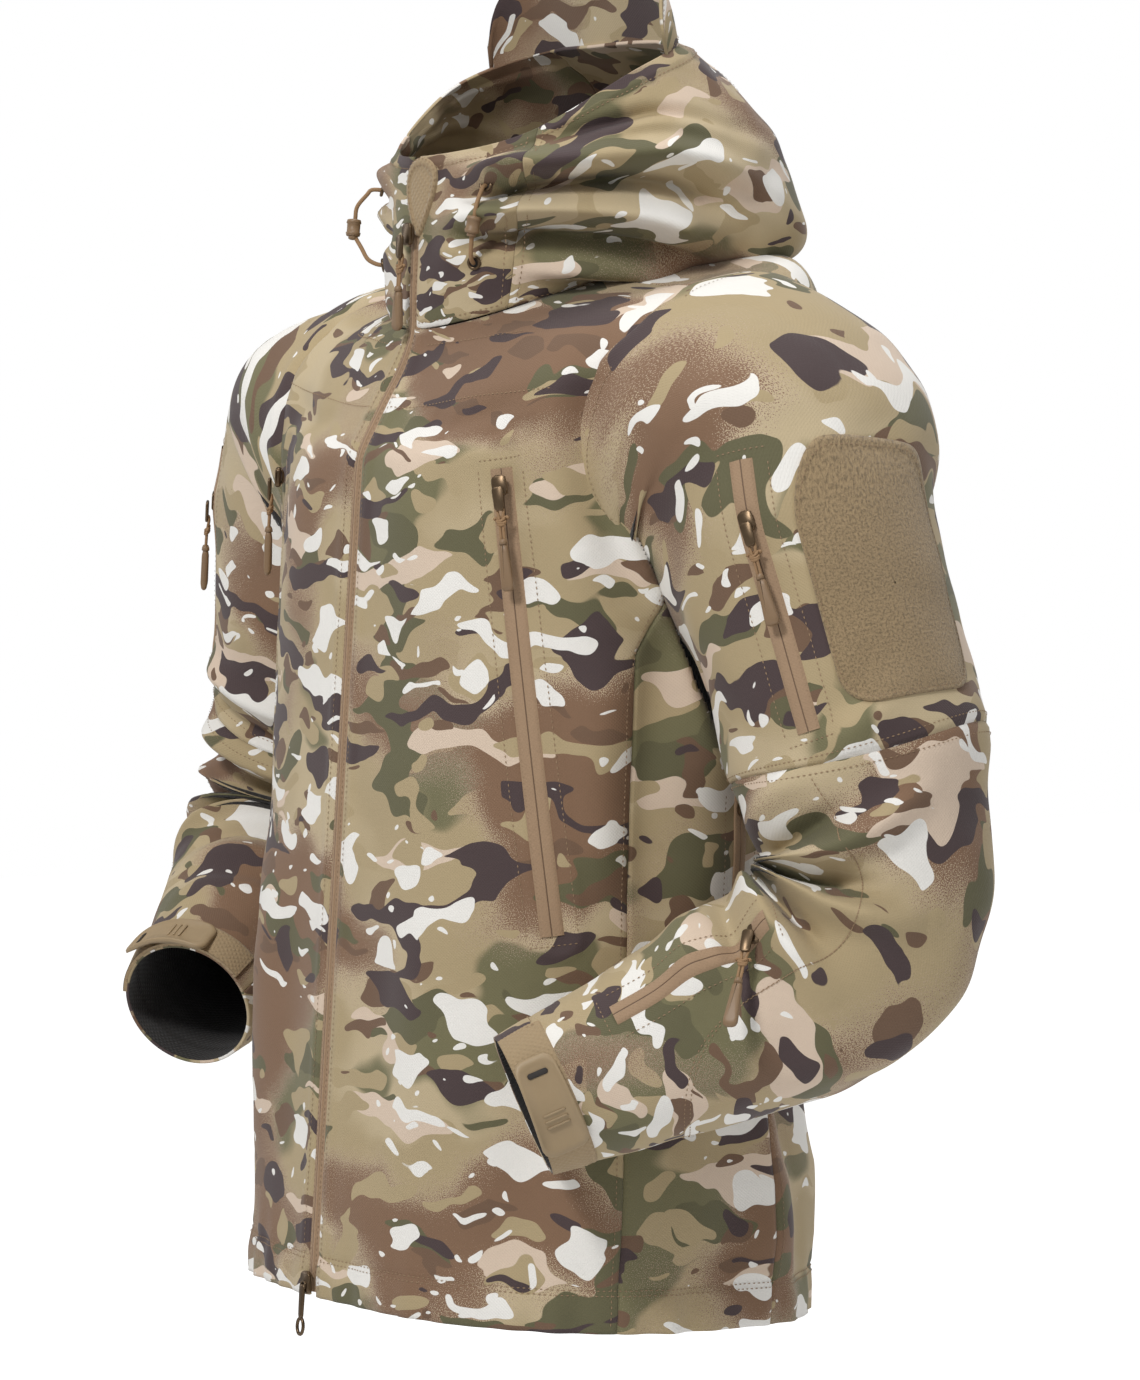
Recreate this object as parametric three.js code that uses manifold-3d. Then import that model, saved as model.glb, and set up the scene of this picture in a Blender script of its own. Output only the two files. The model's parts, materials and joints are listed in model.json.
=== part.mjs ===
// A hooded softshell field jacket in the pose it takes on a body form: front closed, both elbows bent.
// Millimetres, +Z up, the wearer's front towards -Y and the wearer's left towards +X.
// The origin is the centre of the neck, level with the front of the collar seam.
import * as THREE from "three";
import { mergeVertices } from "three/addons/utils/BufferGeometryUtils.js";
import Module from "manifold-3d";

const wasm = await Module();
wasm.setup();

// ---- Driving dimensions ----
const BODY_LENGTH = 615; // front, from collar seam to hem
const BACK_DROP = 17; // the hem is this much lower at the back
const HEM_HALF_WIDTH = 200;
const CHEST_HALF_WIDTH = 194;
const CHEST_DROP = 80; // from collar seam down to the chest line
const HEM_FRONT_Y = -180;
const HEM_BACK_Y = 142;
const NECK_HALF_WIDTH = 78;
const SECTION_POWER = 2.4; // 2 is an ellipse, more is boxier
const CLOTH = 3; // softshell with its bonded fleece, as a plain shell
const GAP = 0.35; // between pieces that are sewn face to face
const SEAM_ANGLE = degrees(0.12); // the same gap as an angle on the body
const SIDE_SEAM = degrees(74); // front seam of the side panel, from centre front
const BACK_SEAM = degrees(108); // back seam of the side panel
const ARMHOLE_LOW = 190; // below the collar seam, where the side seams end
const ARMHOLE_HIGH = 110;

const ARM = {
  left: { side: 1, shoulderY: 28, elbow: [312, 48, -376], cuff: [214, -156, -470] },
  right: { side: -1, shoulderY: -12, elbow: [-328, 14, -368], cuff: [-212, -152, -452] },
};
const SHOULDER_RADIUS = 84;
const UPPER_ARM_RADIUS = 79;
const ELBOW_RADIUS = 72;
const CUFF_RADIUS = 44;
const ELBOW_BEND_RADIUS = 84; // of the sleeve's centre line
const SLEEVE_SIDES = 20;

const MAIN_TAPE_WIDTH = 8;
const MAIN_CHAIN_WIDTH = 3;
const TAPE_THICKNESS = 1.4;
const POCKET_TAPE_WIDTH = 20;
const CHAIN_WIDTH = 3;
const CHAIN_HEIGHT = 0.8;
const SLIDER_WIDTH = 10;
const SLIDER_LENGTH = 14;
const SLIDER_HEIGHT = 4;
const TAB_WIDTH = 7;
const TAB_LENGTH = 18;
const TAB_THICKNESS = 1.6;
const CORD_DIAMETER = 3;
const CORD_REACH = 16; // cord between the metal tab and its moulded end
const BARREL_DIAMETER = 8;
const BARREL_LENGTH = 30;
const PATCH_WIDTH = 100;
const PATCH_HEIGHT = 138;
const PATCH_CORNER = 22;
const PATCH_THICKNESS = 2;
const STRAP_THICKNESS = 2;
const CUFF_TAB = { length: 62, width: 30, thickness: 3, corner: 8 };
const GUARD_THICKNESS = 1.6;
const VISOR_DEPTH = 58;
const COLLAR_HALF_ANGLE = degrees(52);
const COLLAR_FRONT_ANGLE = degrees(6.5);
const HOOD_CENTRE_SEAM = degrees(150);
const FRONT_SLACK = degrees(9);
const HOOD_FOLD = 0.3; // share of the way from the neck seam to the hood's edge

function degrees(value) {
  return (value * Math.PI) / 180;
}

function point(x, y, z) {
  return new THREE.Vector3(x, y, z);
}

// ---- Cloth built on surfaces ----

// The outward normal of a surface at (u, v); facing tells which way is out.
function normalAt(surface, u, v, facing) {
  const step = 1e-3;
  const alongU = surface(u + step, v).sub(surface(u - step, v));
  const alongV = surface(u, v + step).sub(surface(u, v - step));
  const normal = alongU.cross(alongV).normalize();
  return normal.multiplyScalar(facing);
}

// Joins two grids of points, outer and inner, into one closed plate. Rows wrap round when closed is true.
function closedPlate(outer, inner, closed) {
  const rows = outer.length;
  const columns = outer[0].length;
  const positions = [];
  for (const grid of [outer, inner]) {
    for (const row of grid) {
      for (const p of row) positions.push(p.x, p.y, p.z);
    }
  }
  const at = (layer, row, column) => layer * rows * columns + row * columns + (column % columns);
  const faces = [];
  const quad = (a, b, c, d) => faces.push(a, b, c, a, c, d);
  const spans = closed ? columns : columns - 1;
  for (let r = 0; r < rows - 1; r++) {
    for (let c = 0; c < spans; c++) {
      quad(at(0, r, c), at(0, r, c + 1), at(0, r + 1, c + 1), at(0, r + 1, c));
      quad(at(1, r, c), at(1, r + 1, c), at(1, r + 1, c + 1), at(1, r, c + 1));
    }
  }
  for (let c = 0; c < spans; c++) {
    quad(at(0, 0, c), at(1, 0, c), at(1, 0, c + 1), at(0, 0, c + 1));
    quad(at(0, rows - 1, c), at(0, rows - 1, c + 1), at(1, rows - 1, c + 1), at(1, rows - 1, c));
  }
  if (!closed) {
    const last = columns - 1;
    for (let r = 0; r < rows - 1; r++) {
      quad(at(0, r, 0), at(0, r + 1, 0), at(1, r + 1, 0), at(1, r, 0));
      quad(at(0, r, last), at(1, r, last), at(1, r + 1, last), at(0, r + 1, last));
    }
  }
  return facingOut(geometryOf(positions, faces));
}

function geometryOf(positions, faces) {
  const geometry = new THREE.BufferGeometry();
  geometry.setAttribute("position", new THREE.Float32BufferAttribute(positions, 3));
  geometry.setIndex(faces);
  return geometry;
}

// Turns every face round when the closed surface is inside out.
function facingOut(geometry) {
  const p = geometry.getAttribute("position");
  const index = geometry.index.array;
  const corner = (i) => new THREE.Vector3().fromBufferAttribute(p, index[i]);
  let volume = 0;
  for (let i = 0; i < index.length; i += 3) {
    volume += corner(i).dot(corner(i + 1).cross(corner(i + 2)));
  }
  if (volume < 0) {
    for (let i = 0; i < index.length; i += 3) [index[i + 1], index[i + 2]] = [index[i + 2], index[i + 1]];
  }
  return geometry;
}

// A sewn panel: the part of a surface between two u limits, which may change with v, as a closed shell.
function panel({ surface, uLow, uHigh, v, columns, rows, facing, lift = 0, thickness = CLOTH }) {
  const grids = [lift, lift - thickness].map((height) => {
    const grid = [];
    for (let r = 0; r <= rows; r++) {
      const level = v[0] + ((v[1] - v[0]) * r) / rows;
      const row = [];
      for (let c = 0; c <= columns; c++) {
        const u = uLow(level) + ((uHigh(level) - uLow(level)) * c) / columns;
        row.push(surface(u, level).addScaledVector(normalAt(surface, u, level, facing), height));
      }
      grid.push(row);
    }
    return grid;
  });
  return closedPlate(grids[0], grids[1], false);
}

// ---- manifold-3d: joining and cutting ----

function solid(geometry) {
  const bare = geometry.clone();
  bare.deleteAttribute("normal");
  bare.deleteAttribute("uv");
  const merged = mergeVertices(bare, 1e-4);
  return new wasm.Manifold(
    new wasm.Mesh({
      numProp: 3,
      vertProperties: new Float32Array(merged.getAttribute("position").array),
      triVerts: new Uint32Array(merged.index.array),
    }),
  );
}

// The largest body of a solid, as a three.js geometry: a cut can leave crumbs.
function geometryFrom(cut) {
  const bodies = cut.decompose().sort((a, b) => b.volume() - a.volume());
  const mesh = bodies[0].getMesh();
  const positions = [];
  for (let i = 0; i < mesh.numVert; i++) {
    for (let k = 0; k < 3; k++) positions.push(mesh.vertProperties[i * mesh.numProp + k]);
  }
  return geometryOf(positions, Array.from(mesh.triVerts));
}

function moved(geometry, x, y, z) {
  return geometry.clone().translate(x, y, z);
}

// ---- Torso ----
// Each ring gives the heights and depths at centre front and centre back, and the half width between.
const TORSO_RINGS = [
  { zFront: -BODY_LENGTH, zBack: -BODY_LENGTH - BACK_DROP, width: HEM_HALF_WIDTH, front: HEM_FRONT_Y, back: HEM_BACK_Y },
  { zFront: -CHEST_DROP, zBack: 20 - CHEST_DROP, width: CHEST_HALF_WIDTH, front: -144, back: 137 },
  { zFront: -44, zBack: 26, width: CHEST_HALF_WIDTH - 6, front: -124, back: 138 },
  { zFront: -25, zBack: 48, width: 167, front: -112, back: 133 },
  { zFront: -8, zBack: 58, width: 122, front: -105, back: 118 },
  { zFront: 0, zBack: 65, width: NECK_HALF_WIDTH, front: -103, back: 98 },
];
const CHEST_RING = 1;
const NECK_RING = TORSO_RINGS.length - 1;

function sectionPoint(ring, angle) {
  const s = Math.sin(angle);
  const c = Math.cos(angle);
  const power = 2 / SECTION_POWER;
  const depth = Math.sign(c) * Math.abs(c) ** power;
  const middle = (ring.front + ring.back) / 2;
  return point(
    ring.width * Math.sign(s) * Math.abs(s) ** power,
    middle - ((ring.back - ring.front) / 2) * depth,
    (ring.zFront + ring.zBack) / 2 + ((ring.zFront - ring.zBack) / 2) * c,
  );
}

// A point on the body of the jacket: angle from centre front towards the wearer's left, level in rings.
function torso(angle, level) {
  const low = Math.max(0, Math.min(NECK_RING - 1, Math.floor(level)));
  const share = level - low;
  return sectionPoint(TORSO_RINGS[low], angle).lerp(sectionPoint(TORSO_RINGS[low + 1], angle), share);
}

// The level at which the straight part of the body reaches a height below the collar seam.
function levelAt(drop) {
  return (BODY_LENGTH - drop) / (BODY_LENGTH - CHEST_DROP);
}

// The side seams swing from the side panel's edges to the shoulder seam inside the armhole.
function seamAngle(below, level) {
  const low = levelAt(ARMHOLE_LOW);
  const high = levelAt(ARMHOLE_HIGH);
  const share = Math.min(1, Math.max(0, (level - low) / (high - low)));
  return below + (Math.PI / 2 - below) * share;
}

// The rows of a torso panel are placed by hand so that each ring has a row.
function torsoPanel(uLow, uHigh, top, columns) {
  const levels = [0, 0.2, 0.4, 0.6, 0.75, 0.83, 0.9, 1, 1.5, 2, 2.5, 3, 3.5, 4, 4.5, 5];
  const used = levels.filter((level) => level < top - 0.01).concat([top]);
  const grids = [0, -CLOTH].map((height) =>
    used.map((level) => {
      const row = [];
      for (let c = 0; c <= columns; c++) {
        const u = uLow(level) + ((uHigh(level) - uLow(level)) * c) / columns;
        row.push(torso(u, level).addScaledVector(torsoNormal(u, level), height));
      }
      return row;
    }),
  );
  return closedPlate(grids[0], grids[1], false);
}

// The normal is averaged over the rings on both sides, so that a fold line between rings stays closed.
function torsoNormal(angle, level) {
  const inside = Math.min(Math.max(level, 0.01), NECK_RING - 0.01);
  const below = normalAt(torso, angle, inside - 0.005, 1);
  return below.add(normalAt(torso, angle, inside + 0.005, 1)).normalize();
}

// The whole body of the jacket filled in, grown by a clearance.
function torsoFilled(clearance) {
  const steps = 72;
  const levels = [0, 0.25, 0.5, 0.75, 0.9, 1, 1.5, 2, 2.5, 3, 3.5, 4, 4.5, 5];
  const rings = levels.map((level) => {
    const ring = [];
    for (let i = 0; i < steps; i++) {
      const angle = (2 * Math.PI * i) / steps;
      ring.push(torso(angle, level).addScaledVector(torsoNormal(angle, level), clearance));
    }
    return ring;
  });
  return filledTube(rings);
}

// A closed solid through rings of points, with a flat fan on each end.
function filledTube(rings) {
  const count = rings[0].length;
  const positions = [];
  for (const ring of rings) {
    for (const p of ring) positions.push(p.x, p.y, p.z);
  }
  const faces = [];
  for (let r = 0; r < rings.length - 1; r++) {
    for (let c = 0; c < count; c++) {
      const a = r * count + c;
      const b = r * count + ((c + 1) % count);
      faces.push(a, b, b + count, a, b + count, a + count);
    }
  }
  for (const [r, order] of [[0, 1], [rings.length - 1, -1]]) {
    const centre = rings[r].reduce((sum, p) => sum.add(p), point(0, 0, 0)).divideScalar(count);
    const middle = positions.length / 3;
    positions.push(centre.x, centre.y, centre.z);
    for (let c = 0; c < count; c++) {
      const a = r * count + c;
      const b = r * count + ((c + 1) % count);
      if (order > 0) faces.push(middle, b, a);
      else faces.push(middle, a, b);
    }
  }
  return facingOut(geometryOf(positions, faces));
}

// ---- Sleeves ----

// Rings along a sleeve: centre, direction of the sleeve there, and radius.
function sleevePath(arm) {
  const { side, shoulderY } = arm;
  const elbow = point(...arm.elbow);
  const cuff = point(...arm.cuff);
  const shoulder = [
    { at: point(side * 140, shoulderY - 2, -70), along: point(side * 0.93, 0.05, -0.36), radius: 82 },
    { at: point(side * 188, shoulderY + 2, -76), along: point(side * 0.8, 0.08, -0.6), radius: 89 },
    { at: point(side * 218, shoulderY + 4, -94), along: point(side * 0.6, 0.1, -0.78), radius: 93 },
  ];
  const top = point(side * 240, shoulderY, -122);
  const seam = point(side * 288, shoulderY + 14, -264);
  const upperDirection = seam.clone().sub(top).normalize();
  const upper = [0, 0.25, 0.5, 0.75, 1].map((share) => ({
    at: top.clone().lerp(seam, share),
    along: upperDirection,
    radius: SHOULDER_RADIUS + (UPPER_ARM_RADIUS - SHOULDER_RADIUS) * share,
  }));
  const intoElbow = elbow.clone().sub(seam).normalize();
  const foreDirection = cuff.clone().sub(elbow).normalize();
  const bend = Math.acos(intoElbow.dot(foreDirection));
  const reach = ELBOW_BEND_RADIUS * Math.tan(bend / 2);
  const arcStart = elbow.clone().addScaledVector(intoElbow, -reach);
  const inward = foreDirection.clone().addScaledVector(intoElbow, -Math.cos(bend)).normalize();
  const arcCentre = arcStart.clone().addScaledVector(inward, ELBOW_BEND_RADIUS);
  const elbowRings = [];
  const arcSteps = 6;
  for (let i = 0; i <= arcSteps; i++) {
    const turn = (bend * i) / arcSteps;
    const out = inward.clone().multiplyScalar(-Math.cos(turn)).addScaledVector(intoElbow, Math.sin(turn));
    const along = inward.clone().multiplyScalar(Math.sin(turn)).addScaledVector(intoElbow, Math.cos(turn));
    elbowRings.push({
      at: arcCentre.clone().addScaledVector(out, ELBOW_BEND_RADIUS),
      along,
      radius: ELBOW_RADIUS,
    });
  }
  const foreStart = elbowRings[arcSteps];
  const fore = [0.33, 0.67, 1].map((share) => ({
    at: foreStart.at.clone().lerp(cuff, share),
    along: foreDirection,
    radius: ELBOW_RADIUS + (CUFF_RADIUS - ELBOW_RADIUS) * share,
  }));
  return { shoulder, upper, elbowRings, fore, elbow, hinge: intoElbow.clone().cross(foreDirection).normalize() };
}

// The frame of a sleeve ring: out points away from the body, across completes it.
function ringFrame(ring, side) {
  const along = ring.along.clone().normalize();
  const out = point(side, 0, 0).addScaledVector(along, -side * along.x).normalize();
  return { along, out, across: along.clone().cross(out) };
}

function ringPoints(ring, side, grow) {
  const { out, across } = ringFrame(ring, side);
  const points = [];
  for (let i = 0; i < SLEEVE_SIDES; i++) {
    const angle = (2 * Math.PI * i) / SLEEVE_SIDES;
    const radius = ring.radius + grow;
    points.push(
      ring.at.clone()
        .addScaledVector(out, radius * Math.cos(angle))
        .addScaledVector(across, radius * Math.sin(angle)),
    );
  }
  return points;
}

function sleeveShell(rings, side) {
  return closedPlate(
    rings.map((ring) => ringPoints(ring, side, 0)),
    rings.map((ring) => ringPoints(ring, side, -CLOTH)),
    true,
  );
}

// The same ring moved a little along the sleeve, to leave a seam's gap.
function nudged(ring, distance) {
  return { ...ring, at: ring.at.clone().addScaledVector(ring.along.clone().normalize(), distance) };
}

// ---- Hood and collar: one funnel from the collar seam to the face opening ----
// Each row runs from the collar seam to the opening's edge, at an angle round the neck.
const FUNNEL_ROWS = [
  { angle: 0, points: [[0, -103, 0], [0, -103, 22], [0, -102, 44], [0, -101, 66], [0, -100, 88], [0, -99, 110]] },
  {
    angle: 45,
    points: [[58, -80, 10], [62, -82, 32], [66, -84, 56], [70, -82, 80], [73, -76, 100], [72, -66, 122]],
  },
  {
    angle: 90,
    points: [[78, -2, 33], [105, 10, 45], [122, 18, 75], [126, 16, 110], [120, 8, 140], [104, -8, 160]],
  },
  {
    angle: 135,
    points: [[60, 74, 56], [98, 98, 50], [116, 114, 72], [112, 98, 118], [98, 66, 156], [80, 32, 181]],
  },
  {
    angle: 180,
    points: [[0, 98, 65], [0, 132, 52], [0, 162, 68], [0, 146, 114], [0, 104, 166], [0, 33, 183]],
  },
];

function blended(before, low, high, after, share) {
  return (
    0.5 *
    (2 * low +
      (high - before) * share +
      (2 * before - 5 * low + 4 * high - after) * share ** 2 +
      (3 * low - before - 3 * high + after) * share ** 3)
  );
}

// A point on the funnel: angle as on the torso, share 0 at the collar seam and 1 at the opening's edge.
function funnel(angle, share) {
  const mirror = Math.sin(angle) < 0 ? -1 : 1;
  const turned = Math.abs(Math.atan2(Math.sin(angle), Math.cos(angle)));
  const place = (turned / Math.PI) * (FUNNEL_ROWS.length - 1);
  const column = Math.min(FUNNEL_ROWS.length - 2, Math.floor(place));
  const rowPoint = (index) => {
    const last = FUNNEL_ROWS.length - 1;
    const inside = Math.abs(index) > last ? 2 * last - index : Math.abs(index);
    const flip = index < 0 || index > last ? -1 : 1;
    const rowCurve = FUNNEL_ROWS[inside].points;
    const along = share * (rowCurve.length - 1);
    const step = Math.min(rowCurve.length - 2, Math.max(0, Math.floor(along)));
    const pick = (k) => rowCurve[Math.min(rowCurve.length - 1, Math.max(0, k))];
    const mix = (axis) =>
      blended(pick(step - 1)[axis], pick(step)[axis], pick(step + 1)[axis], pick(step + 2)[axis], along - step);
    return [flip * mix(0), mix(1), mix(2)];
  };
  const around = [-1, 0, 1, 2].map((offset) => rowPoint(column + offset));
  const mixed = [0, 1, 2].map((axis) =>
    blended(around[0][axis], around[1][axis], around[2][axis], around[3][axis], place - column),
  );
  return point(mirror * mixed[0], mixed[1], mixed[2]);
}

function funnelPanel(from, to, columns, rows, v = [0.015, 0.985]) {
  return panel({
    surface: funnel,
    uLow: () => from,
    uHigh: () => to,
    v,
    columns,
    rows,
    facing: 1,
  });
}

// The hood's soft peak: a half-round plate that stands up from the brow.
function visorPlate() {
  const steps = 12;
  const half = degrees(56);
  const rise = point(0, -0.35, 0.94).normalize();
  const browPoint = (share) => funnel(Math.PI - half + 2 * half * share, 0.985);
  const outer = [];
  const inner = [];
  for (const depth of [0.02, 0.35, 0.7, 1]) {
    const outerRow = [];
    const innerRow = [];
    for (let i = 0; i <= steps; i++) {
      const share = i / steps;
      const crown = Math.sqrt(Math.max(0, 1 - (2 * share - 1) ** 2));
      const reach = (0.06 + 0.94 * crown) * VISOR_DEPTH * depth;
      const base = browPoint(share).add(point(0, 0, 2 * GAP));
      const p = base.addScaledVector(rise, reach);
      outerRow.push(p);
      innerRow.push(p.clone().add(point(0, -CLOTH, -0.35 * CLOTH)));
    }
    outer.push(outerRow);
    inner.push(innerRow);
  }
  return closedPlate(outer, inner, false);
}

// ---- Plates laid on the garment ----

// A frame on a straight line over a surface: x across, y from the low end to the high end, z outward.
function lineFrame(low, high, outward) {
  const along = high.clone().sub(low).normalize();
  const out = outward.clone().addScaledVector(along, -outward.dot(along)).normalize();
  const across = along.clone().cross(out);
  return {
    matrix: new THREE.Matrix4().makeBasis(across, along, out).setPosition(low),
    length: high.distanceTo(low),
    along,
    out,
    across,
  };
}

// How far a flat strip must be lifted along out to clear a surface it lies over.
function clearingLift(frame, low, samples) {
  return samples.reduce((most, p) => Math.max(most, p.clone().sub(low).dot(frame.out)), 0) + GAP;
}

function roundedRectangle(width, length, corner) {
  const shape = new THREE.Shape();
  const x = width / 2;
  shape.moveTo(-x + corner, 0);
  shape.lineTo(x - corner, 0);
  shape.absarc(x - corner, corner, corner, -Math.PI / 2, 0);
  shape.lineTo(x, length - corner);
  shape.absarc(x - corner, length - corner, corner, 0, Math.PI / 2);
  shape.lineTo(-x + corner, length);
  shape.absarc(-x + corner, length - corner, corner, Math.PI / 2, Math.PI);
  shape.lineTo(-x, corner);
  shape.absarc(-x + corner, corner, corner, Math.PI, 1.5 * Math.PI);
  return shape;
}

function slab(shape, thickness, curveSegments = 4) {
  return new THREE.ExtrudeGeometry(shape, { depth: thickness, bevelEnabled: false, curveSegments });
}

function pocketZipGeometry(length) {
  const tape = solid(slab(roundedRectangle(POCKET_TAPE_WIDTH, length, 2), TAPE_THICKNESS));
  const chain = new THREE.BoxGeometry(CHAIN_WIDTH, length - 4, CHAIN_HEIGHT + 0.2);
  return geometryFrom(tape.add(solid(moved(chain, 0, length / 2, TAPE_THICKNESS + CHAIN_HEIGHT / 2 - 0.1))));
}

const SLIDER_BASE = TAPE_THICKNESS + CHAIN_HEIGHT + GAP;

// A slider: a tapered body with a bail over it, standing on the chain with running clearance.
function sliderGeometry() {
  const half = SLIDER_WIDTH / 2;
  const shape = new THREE.Shape();
  shape.moveTo(-half * 0.6, 0);
  shape.lineTo(half * 0.6, 0);
  shape.lineTo(half, SLIDER_LENGTH * 0.6);
  shape.lineTo(half * 0.7, SLIDER_LENGTH);
  shape.lineTo(-half * 0.7, SLIDER_LENGTH);
  shape.lineTo(-half, SLIDER_LENGTH * 0.6);
  const body = solid(moved(slab(shape, SLIDER_HEIGHT * 0.45), 0, 0, SLIDER_BASE));
  const bail = new THREE.BoxGeometry(2, SLIDER_LENGTH * 0.62, SLIDER_HEIGHT * 0.6);
  return geometryFrom(body.add(solid(moved(bail, 0, SLIDER_LENGTH / 2, SLIDER_BASE + SLIDER_HEIGHT * 0.7))));
}

const PULL_BASE = SLIDER_BASE + SLIDER_HEIGHT + GAP; // under side of the pull, over the bail
const PULL_PIVOT = SLIDER_LENGTH * 0.3; // from the slider's low end

// The pull hangs from its pivot along -y: a metal tab, and a cord with a moulded end where it has one.
function pullGeometry(hasCord, tabLength = TAB_LENGTH) {
  const tabShape = roundedRectangle(TAB_WIDTH, tabLength, TAB_WIDTH / 2 - 0.01);
  const eye = new THREE.Path();
  eye.absarc(0, TAB_WIDTH / 2 + 0.4, TAB_WIDTH / 4, 0, 2 * Math.PI, true);
  tabShape.holes.push(eye);
  let whole = solid(moved(slab(tabShape, TAB_THICKNESS, 6), 0, -tabLength, 0));
  if (hasCord) {
    const cord = new THREE.CylinderGeometry(CORD_DIAMETER / 2, CORD_DIAMETER / 2, CORD_REACH + 6, 8);
    const barrel = new THREE.CylinderGeometry(BARREL_DIAMETER * 0.36, BARREL_DIAMETER / 2, BARREL_LENGTH, 10);
    const cordMiddle = -tabLength - CORD_REACH / 2 + 1;
    const middleHeight = BARREL_DIAMETER / 2;
    whole = whole
      .add(solid(moved(cord, 0, cordMiddle, middleHeight * 0.5)))
      .add(solid(moved(barrel, 0, -tabLength - CORD_REACH - BARREL_LENGTH / 2 + 2, middleHeight)));
  }
  return geometryFrom(whole);
}

// ---- Materials ----
const finish = (color, roughness, metalness) => new THREE.MeshStandardMaterial({ color, roughness, metalness });
const camo = finish(0xa5966f, 0.85, 0);
const tapeBrown = finish(0xa88a6c, 0.8, 0);
const chainBrown = finish(0x7d6450, 0.5, 0);
const metal = finish(0x6e5f48, 0.4, 0.7);
const cordTan = finish(0x9a7d5c, 0.8, 0);
const loopTan = finish(0xa48b66, 0.95, 0);
const tabTan = finish(0x9c8459, 0.6, 0);
const chinTan = finish(0x9a855f, 0.9, 0);

const jacket = new THREE.Group();

function place(name, geometry, material, matrix) {
  const mesh = new THREE.Mesh(geometry, material);
  mesh.name = name;
  if (matrix) {
    mesh.matrix.copy(matrix);
    mesh.matrix.decompose(mesh.position, mesh.quaternion, mesh.scale);
  }
  jacket.add(mesh);
  return mesh;
}

// ---- Body panels ----
const paths = { left: sleevePath(ARM.left), right: sleevePath(ARM.right) };

function sleeveInside(side) {
  const { shoulder, upper } = paths[side];
  const rings = [...shoulder, ...upper];
  return solid(filledTube(rings.map((ring) => ringPoints(ring, ARM[side].side, -CLOTH))));
}

function sleeveOutside(side, grow) {
  const { shoulder, upper } = paths[side];
  const rings = [...shoulder, ...upper];
  return solid(filledTube(rings.map((ring) => ringPoints(ring, ARM[side].side, grow))));
}

const frontEdge = (level) => {
  const halfTape = MAIN_TAPE_WIDTH + 2 * GAP;
  const low = Math.max(0, Math.min(NECK_RING - 1, Math.floor(level)));
  const share = level - low;
  const width = TORSO_RINGS[low].width * (1 - share) + TORSO_RINGS[low + 1].width * share;
  return Math.asin((halfTape / width) ** (SECTION_POWER / 2));
};

const bodyPanels = {
  front_panel_left: torsoPanel(frontEdge, (v) => seamAngle(SIDE_SEAM, v) - SEAM_ANGLE, NECK_RING, 12),
  side_panel_left: torsoPanel(
    (v) => seamAngle(SIDE_SEAM, v) + SEAM_ANGLE,
    (v) => seamAngle(BACK_SEAM, v) - SEAM_ANGLE,
    levelAt((ARMHOLE_LOW + ARMHOLE_HIGH) / 2),
    5,
  ),
  back_panel: torsoPanel(
    (v) => seamAngle(BACK_SEAM, v) + SEAM_ANGLE,
    (v) => 2 * Math.PI - seamAngle(BACK_SEAM, v) - SEAM_ANGLE,
    NECK_RING,
    22,
  ),
  side_panel_right: torsoPanel(
    (v) => 2 * Math.PI - seamAngle(BACK_SEAM, v) + SEAM_ANGLE,
    (v) => 2 * Math.PI - seamAngle(SIDE_SEAM, v) - SEAM_ANGLE,
    levelAt((ARMHOLE_LOW + ARMHOLE_HIGH) / 2),
    5,
  ),
  front_panel_right: torsoPanel(
    (v) => 2 * Math.PI - seamAngle(SIDE_SEAM, v) + SEAM_ANGLE,
    (v) => 2 * Math.PI - frontEdge(v),
    NECK_RING,
    12,
  ),
};
for (const [name, geometry] of Object.entries(bodyPanels)) {
  let cut = solid(geometry);
  for (const side of ["left", "right"]) cut = cut.subtract(sleeveInside(side));
  place(name, geometryFrom(cut), camo);
}

// ---- Sleeves ----
const bodyFilled = solid(torsoFilled(GAP));
for (const side of ["left", "right"]) {
  const { shoulder, upper, elbowRings, fore } = paths[side];
  const sign = ARM[side].side;
  const upperShell = solid(sleeveShell([...shoulder, ...upper], sign)).subtract(bodyFilled);
  place(`sleeve_upper_${side}`, geometryFrom(upperShell), camo);
  place(`sleeve_elbow_${side}`, sleeveShell([nudged(upper[4], GAP), ...elbowRings], sign), camo);
  const foreRings = [nudged(elbowRings[6], GAP), ...fore];
  place(`sleeve_forearm_${side}`, sleeveShell(foreRings, sign), camo);
}

// ---- Collar and hood ----
const collarEdge = COLLAR_HALF_ANGLE - SEAM_ANGLE * 2;
place("collar_left", funnelPanel(COLLAR_FRONT_ANGLE, collarEdge, 8, 6), camo);
place("collar_right", funnelPanel(2 * Math.PI - collarEdge, 2 * Math.PI - COLLAR_FRONT_ANGLE, 8, 6), camo);
const hoodGap = SEAM_ANGLE * 2;
const hoodSeams = [COLLAR_HALF_ANGLE, HOOD_CENTRE_SEAM, 2 * Math.PI - HOOD_CENTRE_SEAM, 2 * Math.PI - COLLAR_HALF_ANGLE];
["hood_side_left", "hood_centre", "hood_side_right"].forEach((name, i) => {
  const from = hoodSeams[i] + hoodGap + (i === 0 ? FRONT_SLACK : 0);
  const to = hoodSeams[i + 1] - hoodGap - (i === 2 ? FRONT_SLACK : 0);
  place(name, funnelPanel(from, to, 12, 8, [HOOD_FOLD + 0.003, 0.985]), camo);
});
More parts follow.
